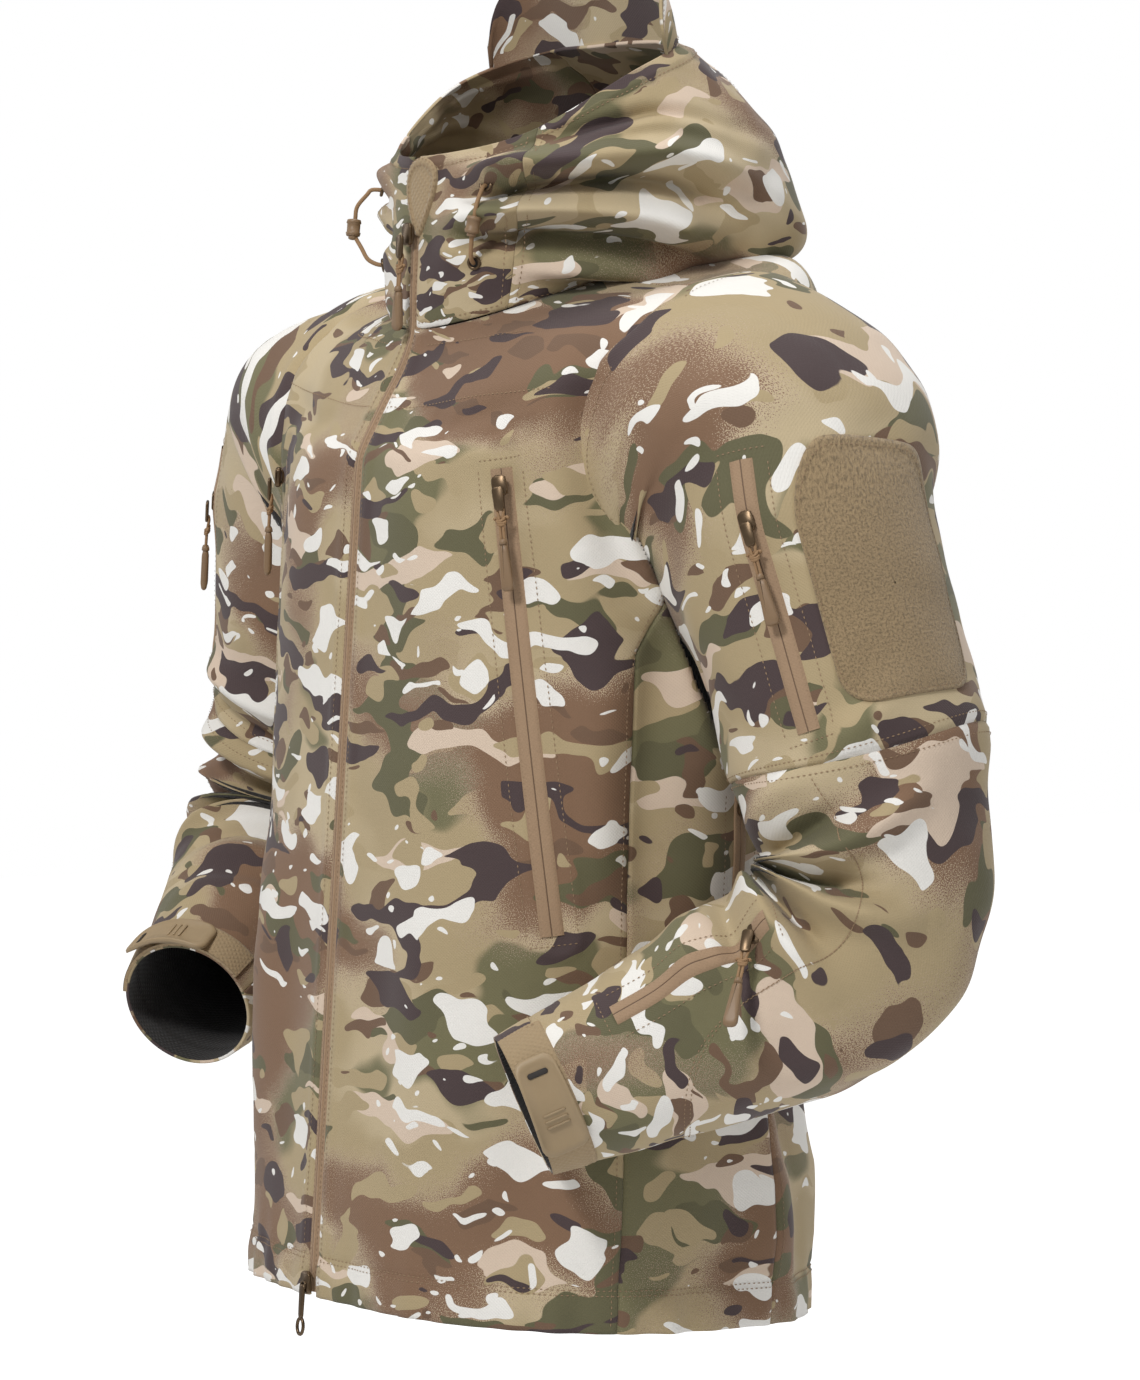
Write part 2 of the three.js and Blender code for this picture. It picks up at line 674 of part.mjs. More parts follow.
// The slack along the neck seam and beside the collar folds when the hood tips back.
const [slackFrom, slackTo] = [hoodSeams[0] + hoodGap, hoodSeams[3] - hoodGap];
const slack = solid(funnelPanel(slackFrom, slackTo, 32, 3, [0.015, HOOD_FOLD]))
  .add(solid(funnelPanel(slackFrom, slackFrom + FRONT_SLACK - hoodGap, 3, 8, [HOOD_FOLD - 0.02, 0.985])))
  .add(solid(funnelPanel(slackTo - FRONT_SLACK + hoodGap, slackTo, 3, 8, [HOOD_FOLD - 0.02, 0.985])));
place("hood_base", geometryFrom(slack.subtract(bodyFilled)), camo);
place("hood_visor", visorPlate(), camo);

// ---- Main zip: two tapes and the chain, swept along centre front ----
function frontLine() {
  const line = [];
  for (const level of [0.004, 1, 2, 3, 4, 5]) line.push(torso(0, level));
  for (const share of [0.2, 0.6, 0.97]) line.push(funnel(0, share));
  return line;
}

function sweptStrip(low, high, xFrom, xTo) {
  const line = frontLine();
  const offset = (distance) =>
    line.map((p, i) => {
      const before = line[Math.max(0, i - 1)];
      const after = line[Math.min(line.length - 1, i + 1)];
      const along = after.clone().sub(before).normalize();
      return new THREE.Vector2(p.y - along.z * distance, p.z + along.y * distance);
    });
  const outline = [...offset(high), ...offset(low).reverse()];
  const extruded = slab(new THREE.Shape(outline), xTo - xFrom);
  const toPart = new THREE.Matrix4().makeBasis(point(0, 1, 0), point(0, 0, 1), point(1, 0, 0));
  return extruded.applyMatrix4(toPart.setPosition(xFrom, 0, 0));
}

place("main_zip_tape_left", sweptStrip(-TAPE_THICKNESS, 0, GAP, MAIN_TAPE_WIDTH), tapeBrown);
place("main_zip_tape_right", sweptStrip(-TAPE_THICKNESS, 0, -MAIN_TAPE_WIDTH, -GAP), tapeBrown);
place(
  "main_zip_chain",
  sweptStrip(GAP, GAP + CHAIN_HEIGHT, -MAIN_CHAIN_WIDTH / 2, MAIN_CHAIN_WIDTH / 2),
  chainBrown,
);

// ---- Sliders and pulls ----
// The centre line of each zip, as a frame whose z = 0 is the tape's under side.
function mainZipFrame() {
  const low = torso(0, 0);
  const high = torso(0, 1);
  const frame = lineFrame(low, high, point(0, -1, 0));
  const drop = frame.out.clone().multiplyScalar(GAP - TAPE_THICKNESS);
  frame.matrix.setPosition(low.clone().add(drop));
  return frame;
}

function collarZipFrame() {
  const low = funnel(0, 0.1);
  const high = funnel(0, 0.95);
  const frame = lineFrame(low, high, point(0, -1, 0));
  frame.matrix.setPosition(low.clone().addScaledVector(frame.out, 1.2 + GAP - TAPE_THICKNESS));
  return frame;
}

// A zip over the body between two places given as angle and height below the collar seam.
function bodyZipFrame(lowAngle, lowDrop, highAngle, highDrop) {
  const low = torso(lowAngle, levelAt(lowDrop));
  const high = torso(highAngle, levelAt(highDrop));
  const middle = (lowAngle + highAngle) / 2;
  const outward = torsoNormal(middle, levelAt((lowDrop + highDrop) / 2));
  const frame = lineFrame(low, high, outward);
  const samples = [];
  for (let i = 0; i <= 10; i++) {
    for (const edge of [-1, 0, 1]) {
      const share = i / 10;
      const halfTurn = (edge * POCKET_TAPE_WIDTH) / 2 / CHEST_HALF_WIDTH;
      const angle = lowAngle + (highAngle - lowAngle) * share + halfTurn;
      samples.push(torso(angle, levelAt(lowDrop + (highDrop - lowDrop) * share)));
    }
  }
  frame.matrix.setPosition(low.clone().addScaledVector(frame.out, clearingLift(frame, low, samples)));
  return frame;
}

// A zip along a straight run of sleeve, at an angle from out towards across.
function sleeveZipFrame(lowRing, highRing, side, angle) {
  const edge = (ring) => {
    const { out, across } = ringFrame(ring, side);
    return ring.at.clone()
      .addScaledVector(out, ring.radius * Math.cos(angle))
      .addScaledVector(across, ring.radius * Math.sin(angle));
  };
  const { out, across } = ringFrame(highRing, side);
  const outward = out.clone().multiplyScalar(Math.cos(angle)).addScaledVector(across, Math.sin(angle));
  const low = edge(lowRing);
  const frame = lineFrame(low, edge(highRing), outward);
  frame.matrix.setPosition(low.clone().addScaledVector(frame.out, 2 * GAP));
  return frame;
}

function ringBetween(from, to, share) {
  return {
    at: from.at.clone().lerp(to.at, share),
    along: to.along,
    radius: from.radius + (to.radius - from.radius) * share,
  };
}

// The slider and its pull, at a distance up the zip; hang is the pull's turn from the zip's own line.
function placeSlider(name, frame, distance, { hasCord, tabLength, hang = 0, pull = true }) {
  const at = frame.matrix.clone().multiply(new THREE.Matrix4().makeTranslation(0, distance, 0));
  place(`${name}_slider`, sliderGeometry(), metal, at);
  if (!pull) return;
  const pivot = new THREE.Matrix4().makeTranslation(0, PULL_PIVOT, PULL_BASE);
  const turn = new THREE.Matrix4().makeRotationZ(hang);
  place(`${name}_pull`, pullGeometry(hasCord, tabLength), hasCord ? cordTan : metal, at.multiply(pivot).multiply(turn));
}

const mainFrame = mainZipFrame();
placeSlider("main_lower", mainFrame, 2, { hasCord: false, tabLength: 34 });
const collarFrame = collarZipFrame();
placeSlider("main_upper", collarFrame, 44, { hasCord: true });

const END_INSET = SLIDER_LENGTH + 4; // a closed zip's slider stops short of the tape's end
for (const [side, sign] of [["left", 1], ["right", -1]]) {
  const chest = bodyZipFrame(sign * degrees(56), 374, sign * degrees(38.5), 88);
  place(`chest_zip_${side}`, pocketZipGeometry(chest.length), tapeBrown, chest.matrix);
  placeSlider(`chest_zip_${side}`, chest, chest.length - END_INSET, { hasCord: true });

  const pit = bodyZipFrame(sign * degrees(97), 372, sign * degrees(97), 290);
  place(`pit_zip_${side}`, pocketZipGeometry(pit.length), tapeBrown, pit.matrix);
  placeSlider(`pit_zip_${side}`, pit, pit.length - END_INSET, { pull: false });

  const { upper } = paths[side];
  const zipAngle = sign * degrees(54);
  const armZip = sleeveZipFrame(ringBetween(upper[0], upper[4], 0.9), ringBetween(upper[0], upper[4], -0.05), sign, zipAngle);
  place(`arm_zip_${side}`, pocketZipGeometry(armZip.length), tapeBrown, armZip.matrix);
  placeSlider(`arm_zip_${side}`, armZip, armZip.length - END_INSET, { hasCord: true });
}

// The forearm pocket is on the left sleeve only. Its pull hangs straight down past the zip.
const foreFrom = nudged(paths.left.elbowRings[6], GAP);
const foreTo = paths.left.fore[2];
const FOREARM_ZIP_ANGLE = degrees(52);
const forearmZip = sleeveZipFrame(
  ringBetween(foreFrom, foreTo, 0.62),
  ringBetween(foreFrom, foreTo, 0.02),
  1,
  FOREARM_ZIP_ANGLE,
);
place("forearm_zip_left", pocketZipGeometry(forearmZip.length), tapeBrown, forearmZip.matrix);
const downInZip = point(0, 0, -1).transformDirection(forearmZip.matrix.clone().invert());
placeSlider("forearm_zip_left", forearmZip, forearmZip.length - END_INSET, {
  hasCord: true,
  hang: Math.atan2(downInZip.x, -downInZip.y),
});

// ---- Loop panels for badges, on the outside of each upper sleeve ----
// Flat strips follow the sleeve round, so the middle strip is a true flat face.
function loopPatch(side) {
  const sign = ARM[side].side;
  const { upper } = paths[side];
  const strips = 7;
  const rows = 8;
  const turn = PATCH_WIDTH / UPPER_ARM_RADIUS;
  const outer = [];
  const inner = [];
  const top = ringBetween(upper[0], upper[4], -0.06);
  const bottom = ringBetween(upper[0], upper[4], -0.06 + PATCH_HEIGHT / upper[0].at.distanceTo(upper[4].at));
  for (let r = 0; r <= rows; r++) {
    const share = r / rows;
    const ring = ringBetween(top, bottom, share);
    const { out, across } = ringFrame(ring, sign);
    const fromEnd = Math.min(share, 1 - share) * PATCH_HEIGHT;
    const inset = fromEnd < PATCH_CORNER ? PATCH_CORNER - Math.sqrt(PATCH_CORNER ** 2 - (PATCH_CORNER - fromEnd) ** 2) : 0;
    const half = turn / 2 - inset / UPPER_ARM_RADIUS;
    const rowAt = (grow) => {
      const row = [];
      for (let c = 0; c <= strips; c++) {
        const angle = -half + (2 * half * c) / strips;
        const radius = ring.radius + grow;
        row.push(
          ring.at.clone()
            .addScaledVector(out, radius * Math.cos(angle))
            .addScaledVector(across, radius * Math.sin(angle)),
        );
      }
      return row;
    };
    const sag = 2 * ring.radius * (1 / Math.cos(turn / 2 / strips) - 1);
    outer.push(rowAt(sag + GAP + PATCH_THICKNESS));
    inner.push(rowAt(sag + GAP));
  }
  return closedPlate(outer, inner, false);
}

// ---- Cuff closure: a woven strap on the cuff and a moulded tab that grips it ----
function cuffStrap(side, from, to) {
  const sign = ARM[side].side;
  const { fore } = paths[side];
  const columns = 12;
  const rows = [0.87, 0.985].map((share) => ringBetween(fore[0], fore[2], (share - 0.33) / 0.67));
  const grids = [GAP + STRAP_THICKNESS, GAP].map((grow) =>
    rows.map((ring) => {
      const { out, across } = ringFrame(ring, sign);
      const row = [];
      for (let c = 0; c <= columns; c++) {
        const angle = from + ((to - from) * c) / columns;
        const radius = ring.radius + 0.8 + grow;
        row.push(
          ring.at.clone()
            .addScaledVector(out, radius * Math.cos(angle))
            .addScaledVector(across, radius * Math.sin(angle)),
        );
      }
      return row;
    }),
  );
  return closedPlate(grids[0], grids[1], false);
}

const CUFF_TAB_ANGLE = { left: degrees(12), right: degrees(-95) };
function cuffTabFrame(side) {
  const sign = ARM[side].side;
  const { fore } = paths[side];
  const ring = ringBetween(fore[0], fore[2], (0.93 - 0.33) / 0.67);
  const { along, out, across } = ringFrame(ring, sign);
  const angle = CUFF_TAB_ANGLE[side];
  const outward = out.clone().multiplyScalar(Math.cos(angle)).addScaledVector(across, Math.sin(angle));
  const around = along.clone().cross(outward);
  const height = ring.radius + 1.8 + STRAP_THICKNESS + 3 * GAP;
  const low = ring.at.clone()
    .addScaledVector(outward, height)
    .addScaledVector(around, -CUFF_TAB.length / 2);
  return lineFrame(low, low.clone().addScaledVector(around, CUFF_TAB.length), outward);
}

for (const side of ["left", "right"]) {
  place(`loop_patch_${side}`, loopPatch(side), loopTan);
  const middle = CUFF_TAB_ANGLE[side];
  place(`cuff_strap_${side}`, cuffStrap(side, middle - degrees(70), middle + degrees(70)), loopTan);
  const tabShape = roundedRectangle(CUFF_TAB.width, CUFF_TAB.length, CUFF_TAB.corner);
  place(`cuff_tab_${side}`, slab(tabShape, CUFF_TAB.thickness), tabTan, cuffTabFrame(side).matrix);
}

// ---- Collar trim: chin guard, drawcords with their toggles, hanger loop ----
const chinGuard = panel({
  surface: funnel,
  uLow: () => -degrees(5),
  uHigh: () => degrees(12),
  v: [0.62, 0.985],
  columns: 4,
  rows: 5,
  facing: 1,
  lift: 2 * GAP + CHAIN_HEIGHT + GUARD_THICKNESS,
  thickness: GUARD_THICKNESS,
});
place("chin_guard", chinGuard, chinTan);

// A short elastic cord that leaves one eyelet and goes back into the one below it.
function hoodCordPoints(sign) {
  const top = funnel(sign * degrees(38), 0.74);
  const bottom = funnel(sign * degrees(38), 0.3);
  const out = normalAt(funnel, sign * degrees(38), 0.5, 1);
  const clear = 2.5 * GAP;
  const place = (share, reach) => top.clone().lerp(bottom, share).addScaledVector(out, reach);
  return [place(0, clear), place(0.04, 7), place(0.3, 15), place(0.6, 17), place(0.9, 10), place(1, clear)];
}

for (const [side, sign] of [["left", 1], ["right", -1]]) {
  const route = new THREE.CatmullRomCurve3(hoodCordPoints(sign));
  const ring = new THREE.Shape();
  ring.absarc(0, 0, CORD_DIAMETER / 2, 0, 2 * Math.PI);
  const cord = new THREE.ExtrudeGeometry(ring, { steps: 16, curveSegments: 4, extrudePath: route });
  const toggleAt = route.getPointAt(0.5);
  const toggleAlong = route.getTangentAt(0.5);
  const bore = CORD_DIAMETER / 2 + 0.7;
  const toggleProfile = [[bore, -5], [5, -5], [5.5, 0], [5, 5], [bore, 5], [bore, -5]];
  const profile = toggleProfile.map(([r, h]) => new THREE.Vector2(r, h));
  const toggle = new THREE.LatheGeometry(profile, 12);
  toggle.applyQuaternion(new THREE.Quaternion().setFromUnitVectors(point(0, 1, 0), toggleAlong));
  toggle.translate(toggleAt.x, toggleAt.y, toggleAt.z);
  place(`hood_cord_${side}`, cord, cordTan);
  place(`hood_toggle_${side}`, geometryFrom(solid(toggle)), tabTan);
}

// The hanger loop is sewn inside the neck, at the nape.
const hanger = new THREE.Shape();
hanger.absarc(0, 0, 22, 0, Math.PI);
hanger.lineTo(-18, 0);
hanger.absarc(0, 0, 18, Math.PI, 0, true);
const nape = torso(Math.PI, NECK_RING);
const hangerMatrix = new THREE.Matrix4()
  .makeBasis(point(1, 0, 0), point(0, 0, 1), point(0, -1, 0))
  .setPosition(0, nape.y - CLOTH - GAP, nape.z - 12);
place("hanger_loop", slab(hanger, 2, 8), cordTan, hangerMatrix);

// The drawcord lies inside the hem, against the cloth, all the way round.
const hemCordRoute = new THREE.CatmullRomCurve3(
  Array.from({ length: 40 }, (_, i) => {
    const angle = degrees(8) + ((2 * Math.PI - degrees(16)) * i) / 39;
    const inward = CLOTH + CORD_DIAMETER / 2 + GAP + 0.4;
    return torso(angle, 0.03).addScaledVector(torsoNormal(angle, 0.03), -inward);
  }),
);
const hemCordSection = new THREE.Shape();
hemCordSection.absarc(0, 0, CORD_DIAMETER / 2, 0, 2 * Math.PI);
place(
  "hem_drawcord",
  new THREE.ExtrudeGeometry(hemCordSection, { steps: 60, curveSegments: 4, extrudePath: hemCordRoute }),
  cordTan,
);

export default jacket;
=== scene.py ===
import json
import math

import bmesh
import bpy
import numpy as np
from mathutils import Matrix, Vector
from mathutils.bvhtree import BVHTree


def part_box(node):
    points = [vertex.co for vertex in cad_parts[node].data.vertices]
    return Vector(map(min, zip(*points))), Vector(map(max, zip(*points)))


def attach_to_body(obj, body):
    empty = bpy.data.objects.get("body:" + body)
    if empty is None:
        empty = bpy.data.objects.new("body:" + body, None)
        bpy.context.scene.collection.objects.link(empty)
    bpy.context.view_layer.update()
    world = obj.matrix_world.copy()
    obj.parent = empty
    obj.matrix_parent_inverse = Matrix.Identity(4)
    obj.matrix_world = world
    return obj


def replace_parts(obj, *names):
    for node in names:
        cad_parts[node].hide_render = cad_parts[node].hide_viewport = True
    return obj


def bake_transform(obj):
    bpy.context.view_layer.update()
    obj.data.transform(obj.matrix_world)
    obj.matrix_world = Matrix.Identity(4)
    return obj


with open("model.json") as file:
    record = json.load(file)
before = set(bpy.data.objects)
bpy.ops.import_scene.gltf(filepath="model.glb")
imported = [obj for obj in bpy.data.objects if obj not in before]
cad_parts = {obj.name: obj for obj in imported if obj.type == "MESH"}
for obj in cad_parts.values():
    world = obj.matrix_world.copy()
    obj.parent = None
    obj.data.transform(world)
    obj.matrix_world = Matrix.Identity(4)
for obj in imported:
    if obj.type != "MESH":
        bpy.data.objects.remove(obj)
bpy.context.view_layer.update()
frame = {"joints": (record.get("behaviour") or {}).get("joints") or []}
JOINTS = {joint["name"]: joint for joint in frame["joints"]}


# ---------------------------------------------------------------- Camera
def set_camera():
    turn = math.radians(57)
    rightward = Vector((math.cos(turn), math.sin(turn), 0))
    onward = Vector((-math.sin(turn), math.cos(turn), 0))
    target = rightward * 0.0143 + Vector((0, 0, -0.234))
    place = target - onward * 3.6
    place.z = -0.013
    data = bpy.data.cameras.new("camera")
    data.lens = 144.5
    data.sensor_width = 36
    data.clip_end = 50
    camera = bpy.data.objects.new("camera", data)
    camera.location = place
    camera.rotation_euler = (target - place).to_track_quat("-Z", "Y").to_euler()
    bpy.context.collection.objects.link(camera)
    bpy.context.scene.camera = camera


set_camera()


# ---------------------------------------------------------------- Making meshes
def unit(v):
    v = np.asarray(v, float)
    return v / np.maximum(np.linalg.norm(v, axis=-1, keepdims=True), 1e-12)


def mesh_object(name, points, faces, materials, smooth=True, slots=None):
    mesh = bpy.data.meshes.new(name)
    mesh.from_pydata([tuple(p) for p in np.asarray(points).reshape(-1, 3)], [], [tuple(f) for f in faces])
    for material in materials:
        mesh.materials.append(material)
    if slots is not None:
        mesh.polygons.foreach_set("material_index", np.asarray(slots, np.int32))
    mesh.polygons.foreach_set("use_smooth", np.full(len(mesh.polygons), smooth))
    mesh.validate()
    mesh.update()
    piece = bpy.data.objects.new(name, mesh)
    bpy.context.collection.objects.link(piece)
    return piece


def lay_print(piece, flat):
    """Gives each corner its place on the printed cloth, in metres."""
    layer = piece.data.uv_layers.new(name="cloth")
    corners = np.empty(len(piece.data.loops), np.int32)
    piece.data.loops.foreach_get("vertex_index", corners)
    layer.data.foreach_set("uv", np.asarray(flat, np.float32).reshape(-1, 2)[corners].ravel())


def grid_faces(rows, columns, closed=False):
    r = np.arange(rows - 1)[:, None]
    c = np.arange(columns if closed else columns - 1)[None, :]
    after = (c + 1) % columns
    quads = np.stack(
        [r * columns + c, r * columns + after, (r + 1) * columns + after, (r + 1) * columns + c], -1
    )
    return quads.reshape(-1, 4)


def grid_normals(points, closed=False):
    padded = np.concatenate([points[:, -1:], points, points[:, :1]], 1) if closed else points
    across = np.gradient(padded, axis=1)
    along = np.gradient(padded, axis=0)
    normal = unit(np.cross(across, along))
    return normal[:, 1:-1] if closed else normal


def cloth_piece(name, points, flat, nodes, materials, thickness=0.0022, closed=False, keep=None):
    """A sewn panel from a grid of outer points: the outside, the lining and the edges between."""
    rows, columns = points.shape[:2]
    faces = grid_faces(rows, columns, closed)
    if keep is not None:
        kept = keep.reshape(-1)
        faces = faces[kept[faces].all(axis=1)]
    piece = mesh_object(name, points, faces, materials)
    lay_print(piece, flat)
    if keep is not None:
        trim_loose(piece)
    shell = piece.modifiers.new("thickness", "SOLIDIFY")
    shell.thickness = thickness
    shell.offset = -1
    shell.material_offset = 1
    shell.material_offset_rim = 0
    if nodes:
        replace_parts(piece, *nodes)
    return piece


def trim_loose(piece):
    """Drops points that no face uses."""
    body = bmesh.new()
    body.from_mesh(piece.data)
    loose = [v for v in body.verts if not v.link_faces]
    bmesh.ops.delete(body, geom=loose, context="VERTS")
    body.to_mesh(piece.data)
    body.free()


def tube_mesh(path, radius, sides=10, ends=True):
    """Points and faces of a round tube along a path; radius may change along it."""
    path = np.asarray(path, float)
    radii = np.broadcast_to(np.asarray(radius, float), (len(path),))
    along = unit(np.gradient(path, axis=0))
    start = np.array((0.0, 0.0, 1.0)) if abs(along[0][2]) < 0.9 else np.array((1.0, 0.0, 0.0))
    side = unit(np.cross(along[0], start))
    rings = []
    turns = np.linspace(0, 2 * np.pi, sides, endpoint=False)
    for point, direction, r in zip(path, along, radii):
        side = unit(side - direction * np.dot(side, direction))
        other = np.cross(direction, side)
        rings.append(point + r * (np.cos(turns)[:, None] * side + np.sin(turns)[:, None] * other))
    points = np.concatenate(rings)
    faces = [tuple(f[::-1]) for f in grid_faces(len(path), sides, True)]
    if ends:
        faces.append(tuple(range(sides)))
        faces.append(tuple(reversed(range(len(points) - sides, len(points)))))
    return points, faces


def join_meshes(parts):
    points, faces, start = [], [], 0
    for part_points, part_faces in parts:
        points.append(np.asarray(part_points).reshape(-1, 3))
        faces += [tuple(int(i) + start for i in f) for f in part_faces]
        start += len(points[-1])
    return np.concatenate(points), faces


def smooth_path(points, step=0.002):
    """An evenly spaced curve through points."""
    points = np.asarray(points, float)
    padded = np.concatenate([[2 * points[0] - points[1]], points, [2 * points[-1] - points[-2]]])
    curve = []
    for i in range(1, len(padded) - 2):
        a, b, c, d = padded[i - 1 : i + 3]
        for t in np.linspace(0, 1, 24, endpoint=False):
            squared, cubed = (2 * a - 5 * b + 4 * c - d) * t**2, (3 * b - a - 3 * c + d) * t**3
            curve.append(0.5 * (2 * b + (c - a) * t + squared + cubed))
    curve.append(padded[-2])
    curve = np.array(curve)
    length = np.concatenate([[0], np.cumsum(np.linalg.norm(np.diff(curve, axis=0), axis=1))])
    count = max(3, int(round(length[-1] / step)) + 1)
    wanted = np.linspace(0, length[-1], count)
    return np.stack([np.interp(wanted, length, curve[:, k]) for k in range(3)], -1)


def soft_noise(places, size, seed, waves=14):
    """Smooth bumps of about one size, from -1 to 1, made of waves in set directions."""
    source = np.random.default_rng(seed)
    total = 0
    for _ in range(waves):
        direction = unit(source.normal(size=places.shape[-1]))
        stretch = source.uniform(0.6, 1.5)
        total = total + np.sin(
            places @ direction * (2 * np.pi * stretch / size) + source.uniform(0, 2 * np.pi)
        )
    return total / math.sqrt(waves) * 0.8


def distance_to_path(places, path):
    """How far each place is from a run of straight lines, and the share of the run at its nearest point."""
    path = np.asarray(path, float)
    lengths = np.linalg.norm(np.diff(path, axis=0), axis=1)
    before = np.concatenate([[0], np.cumsum(lengths)])
    best = np.full(places.shape[:-1], np.inf)
    share = np.zeros(places.shape[:-1])
    for i, length in enumerate(lengths):
        step = path[i + 1] - path[i]
        t = np.clip(((places - path[i]) @ step) / length**2, 0, 1)
        gap = np.linalg.norm(places - path[i] - t[..., None] * step, axis=-1)
        nearer = gap < best
        best = np.where(nearer, gap, best)
        share = np.where(nearer, (before[i] + t * length) / before[-1], share)
    return best, share


def folds(places, recipe):
    """Adds up folds: each is a path on the cloth, a half width and a height in metres; ends fade out."""
    total = np.zeros(places.shape[:-1])
    for path, width, height in recipe:
        gap, share = distance_to_path(places, path)
        fade = np.clip(np.minimum(share, 1 - share) * 4 + 0.15, 0, 1)
        total += height * fade * np.exp(-((gap / width) ** 2))
    return total


# ---------------------------------------------------------------- The body of the jacket
SECTION_POWER = 2.4
# height at front, height at back, half width, front depth, back depth, from the hem to the neck seam
BODY_RINGS = np.array([
    (-0.615, -0.632, 0.200, -0.180, 0.142),
    (-0.080, -0.060, 0.194, -0.144, 0.137),
    (-0.044, 0.026, 0.188, -0.124, 0.138),
    (-0.025, 0.048, 0.167, -0.112, 0.133),
    (-0.008, 0.058, 0.122, -0.105, 0.118),
    (0.000, 0.065, 0.078, -0.103, 0.098),
])
HALF_TURNS = np.linspace(0, np.pi, 721)


def ring_points(values, angle):
    sine, cosine = np.sin(angle), np.cos(angle)
    power = 2 / SECTION_POWER
    x = values[..., 2] * np.sign(sine) * np.abs(sine) ** power
    depth = np.sign(cosine) * np.abs(cosine) ** power
    y = (values[..., 3] + values[..., 4]) / 2 - (values[..., 4] - values[..., 3]) / 2 * depth
    z = (values[..., 0] + values[..., 1]) / 2 + (values[..., 0] - values[..., 1]) / 2 * cosine
    return np.stack([x, y, z], -1)


def ring_rises():
    rises = [0.0]
    for low, high in zip(BODY_RINGS, BODY_RINGS[1:]):
        steps = [
            np.linalg.norm(ring_points(high, np.array(a)) - ring_points(low, np.array(a)))
            for a in (0, np.pi / 2, np.pi)
        ]
        rises.append(rises[-1] + float(np.mean(steps)))
    return np.array(rises)


RISES = ring_rises()
NECK_RISE = RISES[-1]
FINE_RISES = np.linspace(0, NECK_RISE, 700)


def blurred(values, reach):
    """Rounds off the corners of a table of values, keeping its two ends."""
    spread = np.exp(-0.5 * (np.arange(-3 * reach, 3 * reach + 1) / reach) ** 2)
    spread /= spread.sum()
    pad = 3 * reach
    low = 2 * values[0] - values[1 : pad + 1][::-1]
    high = 2 * values[-1] - values[-pad - 1 : -1][::-1]
    return np.convolve(np.concatenate([low, values, high]), spread, "valid")


FINE_RINGS = np.stack([blurred(np.interp(FINE_RISES, RISES, BODY_RINGS[:, k]), 5) for k in range(5)], -1)
MIDDLE_RING = (BODY_RINGS[0] + BODY_RINGS[1]) / 2
GIRTHS = np.concatenate(
    [[0], np.cumsum(np.linalg.norm(np.diff(ring_points(MIDDLE_RING, HALF_TURNS), axis=0), axis=1))]
)
HALF_GIRTH = GIRTHS[-1]


def girth_at(angle):
    """Distance round the body from centre front, for an angle from -pi to pi."""
    return np.sign(angle) * np.interp(np.abs(angle), HALF_TURNS, GIRTHS)


def short_way(girth):
    """The same place on the body, measured the shorter way round from centre front."""
    return (girth + HALF_GIRTH) % (2 * HALF_GIRTH) - HALF_GIRTH


def angle_at(girth):
    girth = short_way(girth)
    return np.sign(girth) * np.interp(np.abs(girth), GIRTHS, HALF_TURNS)


def body_surface(girth, rise):
    angle = angle_at(girth)
    values = np.stack([np.interp(rise, FINE_RISES, FINE_RINGS[:, k]) for k in range(5)], -1)
    return ring_points(values, angle)


def surface_normal(surface, u, v, step=0.0015):
    across = surface(u + step, v) - surface(u - step, v)
    along = surface(u, v + step) - surface(u, v - step)
    return unit(np.cross(across, along))


CHEST_ZIP_LINE = [(0.137, 0.556), (0.188, 0.25)]
# Creases and swells of the body's cloth, as (distance round from centre front, rise above the hem).
BODY_FOLDS = [
    ([(0.190, 0.640), (0.192, 0.585), (0.203, 0.53), (0.236, 0.475)], 0.016, -0.0075),
    ([(0.165, 0.625), (0.160, 0.57), (0.172, 0.51), (0.205, 0.45)], 0.020, 0.005),
    ([(0.222, 0.60), (0.222, 0.55), (0.240, 0.50)], 0.012, 0.004),
    ([(0.262, 0.47), (0.246, 0.40), (0.238, 0.33), (0.247, 0.25)], 0.020, -0.006),
    ([(0.215, 0.43), (0.205, 0.35), (0.215, 0.27)], 0.024, 0.0045),
    ([(0.275, 0.40), (0.285, 0.30), (0.270, 0.18)], 0.022, 0.005),
    ([(0.045, 0.60), (0.085, 0.585), (0.14, 0.60)], 0.013, -0.002),
    ([(0.03, 0.56), (0.07, 0.50), (0.09, 0.42)], 0.030, 0.0035),
    ([(0.110, 0.30), (0.100, 0.20), (0.120, 0.08)], 0.030, 0.004),
    ([(0.050, 0.26), (0.058, 0.15), (0.050, 0.06)], 0.026, -0.003),
    ([(0.170, 0.20), (0.175, 0.12), (0.165, 0.03)], 0.022, -0.0035),
    ([(0.215, 0.16), (0.225, 0.10), (0.220, 0.03)], 0.022, 0.0035),
    ([(0.30, 0.14), (0.31, 0.08), (0.305, 0.02)], 0.018, -0.004),
    ([(0.34, 0.18), (0.345, 0.10), (0.35, 0.02)], 0.018, 0.005),
    ([(0.39, 0.16), (0.385, 0.08), (0.39, 0.01)], 0.016, -0.0045),
    ([(0.43, 0.19), (0.435, 0.10), (0.43, 0.01)], 0.018, 0.004),
    ([(0.33, 0.52), (0.38, 0.44), (0.42, 0.33)], 0.024, -0.005),
    ([(0.36, 0.57), (0.42, 0.50), (0.47, 0.40)], 0.026, 0.005),
    ([(0.39, 0.30), (0.385, 0.20), (0.39, 0.09)], 0.055, -0.014),
    ([(0.45, 0.30), (0.50, 0.27), (0.56, 0.28)], 0.018, -0.004),
    ([(0.44, 0.26), (0.50, 0.22), (0.56, 0.23)], 0.020, 0.004),
]


